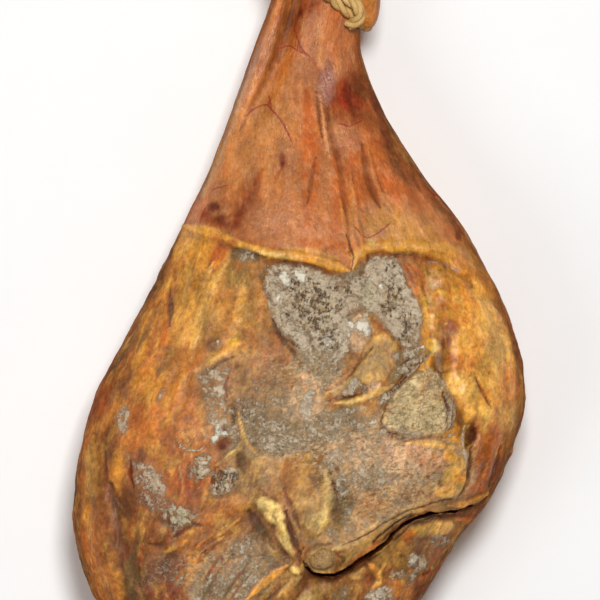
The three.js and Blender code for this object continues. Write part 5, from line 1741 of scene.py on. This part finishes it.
def make_stage(settings):
    half = settings.floor_size / 2 / MM
    corners = [(-half, -half, 0), (half, -half, 0), (half, half, 0), (-half, half, 0)]
    floor = mesh_object("floor", corners, [(0, 1, 2, 3)])
    floor.data.materials.append(floor_material(settings))
    floor.location.z = -FLOOR_DROP
    area_light("key_light", KEY_PLACE, settings.key_power, KEY_SIZE)
    area_light("fill_light", FILL_PLACE, settings.key_power * FILL_SHARE, FILL_SIZE)
    world = bpy.data.worlds.new("soft_surround")
    world.use_nodes = True
    background = world.node_tree.nodes["Background"]
    background.inputs["Color"].default_value = (1, 1, 1, 1)
    background.inputs["Strength"].default_value = settings.surround
    scene = bpy.context.scene
    scene.world = world
    scene.view_settings.view_transform = "Standard"
    cam = bpy.data.cameras.new("photo_view")
    cam.sensor_width = 36.0
    window = WINDOW * PIXEL * MM
    cam.lens = cam.sensor_width * CAMERA_HEIGHT / window
    cam.clip_end = 60.0
    camera = bpy.data.objects.new("photo_view", cam)
    x, y = photo_to_mm(WINDOW / 2, WINDOW / 2)
    camera.location = (x * MM, y * MM, CAMERA_HEIGHT + WIDEST_HEIGHT)
    scene.collection.objects.link(camera)
    scene.camera = camera


# Add-on

def amount(name, description, default, low, **more):
    return FloatProperty(name=name, description=description, default=default, min=low, **more)


def length(name, description, default, low, **more):
    return amount(name, description, default, low, subtype="DISTANCE", unit="LENGTH", **more)


def colour(name, description, default):
    return FloatVectorProperty(name=name, description=description, default=default, subtype="COLOR", size=3,
                               min=0.0, max=1.0)


class HamSettings(bpy.types.PropertyGroup):
    """Sizes, fineness and colours of the ham, its bone end and its rope."""

    step: length("Skin step", "Distance between the points of the flesh side's skin", 0.0013, 0.0008,
                 precision=4)
    under_coarseness: amount("Under coarseness", "How much coarser the skin is underneath", 4.5, 1.0,
                             max=12.0)
    relief: amount("Relief", "Strength of the small unevenness", 1.0, 0.0, max=3.0)
    contrast: amount("Contrast", "Strength of the skin's blotches and streaks", 1.3, 0.0, max=3.0)
    mould: amount("Mould", "Raggedness of the mould's edges", 1.0, 0.0, max=2.0)
    skin_roughness: amount("Skin roughness", "Roughness of the greasiest skin", 0.2, 0.05, max=1.0)
    bone_colour: colour("Bone colour", "Ground colour of the bare bone", tuple(to_linear((176, 138, 82))))
    rope_colour: colour("Rope colour", "Colour of the rope where it is clean",
                        tuple(to_linear((218, 178, 108))))
    rope_radius: length("Rope radius", "Half the rope's thickness", 0.0041, 0.001)
    rope_lay: length("Rope lay", "Length of one turn of a strand", 0.027, 0.005)
    rope_strands: IntProperty(name="Strands", description="Strands of the rope", default=3, min=2, max=5)


class StageSettings(bpy.types.PropertyGroup):
    """Floor, light and surround."""

    floor_size: length("Floor size", "Side of the square floor", 12.0, 1.0)
    floor_colour: colour("Floor colour", "Colour of the pale floor", (0.96, 0.965, 0.96))
    key_power: amount("Key light", "Power of the main soft light in watts", 63.0, 0.0)
    surround: amount("Surround", "Strength of the light from all round", 0.17, 0.0)


class CUREDHAM_OT_ham(bpy.types.Operator):
    """Build the ham: rind, fat, flesh and mould"""

    bl_idname = "curedham.ham"
    bl_label = "Ham"

    def execute(self, context):
        make_ham(context.scene.ham_settings)
        return {"FINISHED"}


class CUREDHAM_OT_bone_end(bpy.types.Operator):
    """Build the bare end of the aitch bone"""

    bl_idname = "curedham.bone_end"
    bl_label = "Bone end"

    def execute(self, context):
        make_bone_end(context.scene.ham_settings)
        return {"FINISHED"}


class CUREDHAM_OT_rope(bpy.types.Operator):
    """Build the rope round the hock"""

    bl_idname = "curedham.rope"
    bl_label = "Hock rope"

    def execute(self, context):
        make_rope(context.scene.ham_settings)
        return {"FINISHED"}


class CUREDHAM_OT_stage(bpy.types.Operator):
    """Set the floor, the soft lights and the camera"""

    bl_idname = "curedham.stage"
    bl_label = "Stage"

    def execute(self, context):
        make_stage(context.scene.stage_settings)
        return {"FINISHED"}


class CUREDHAM_PT_panel(bpy.types.Panel):
    """The pieces of the ham and their settings"""

    bl_idname = "CUREDHAM_PT_panel"
    bl_label = "Cured Ham"
    bl_space_type = "VIEW_3D"
    bl_region_type = "UI"
    bl_category = "Cured Ham"

    def draw(self, context):
        for settings in (context.scene.ham_settings, context.scene.stage_settings):
            box = self.layout.box()
            for name in settings.bl_rna.properties.keys():
                if name not in {"rna_type", "name"}:
                    box.prop(settings, name)
        for operator in OPERATORS:
            self.layout.operator(operator.bl_idname)


OPERATORS = (CUREDHAM_OT_stage, CUREDHAM_OT_ham, CUREDHAM_OT_bone_end, CUREDHAM_OT_rope)
CLASSES = (HamSettings, StageSettings, *OPERATORS, CUREDHAM_PT_panel)


def register():
    for cls in CLASSES:
        bpy.utils.register_class(cls)
    bpy.types.Scene.ham_settings = PointerProperty(type=HamSettings)
    bpy.types.Scene.stage_settings = PointerProperty(type=StageSettings)


def unregister():
    del bpy.types.Scene.stage_settings
    del bpy.types.Scene.ham_settings
    for cls in reversed(CLASSES):
        bpy.utils.unregister_class(cls)


def main():
    register()
    bpy.ops.curedham.stage()
    bpy.ops.curedham.ham()
    bpy.ops.curedham.bone_end()
    bpy.ops.curedham.rope()


if __name__ == "__main__":
    main()
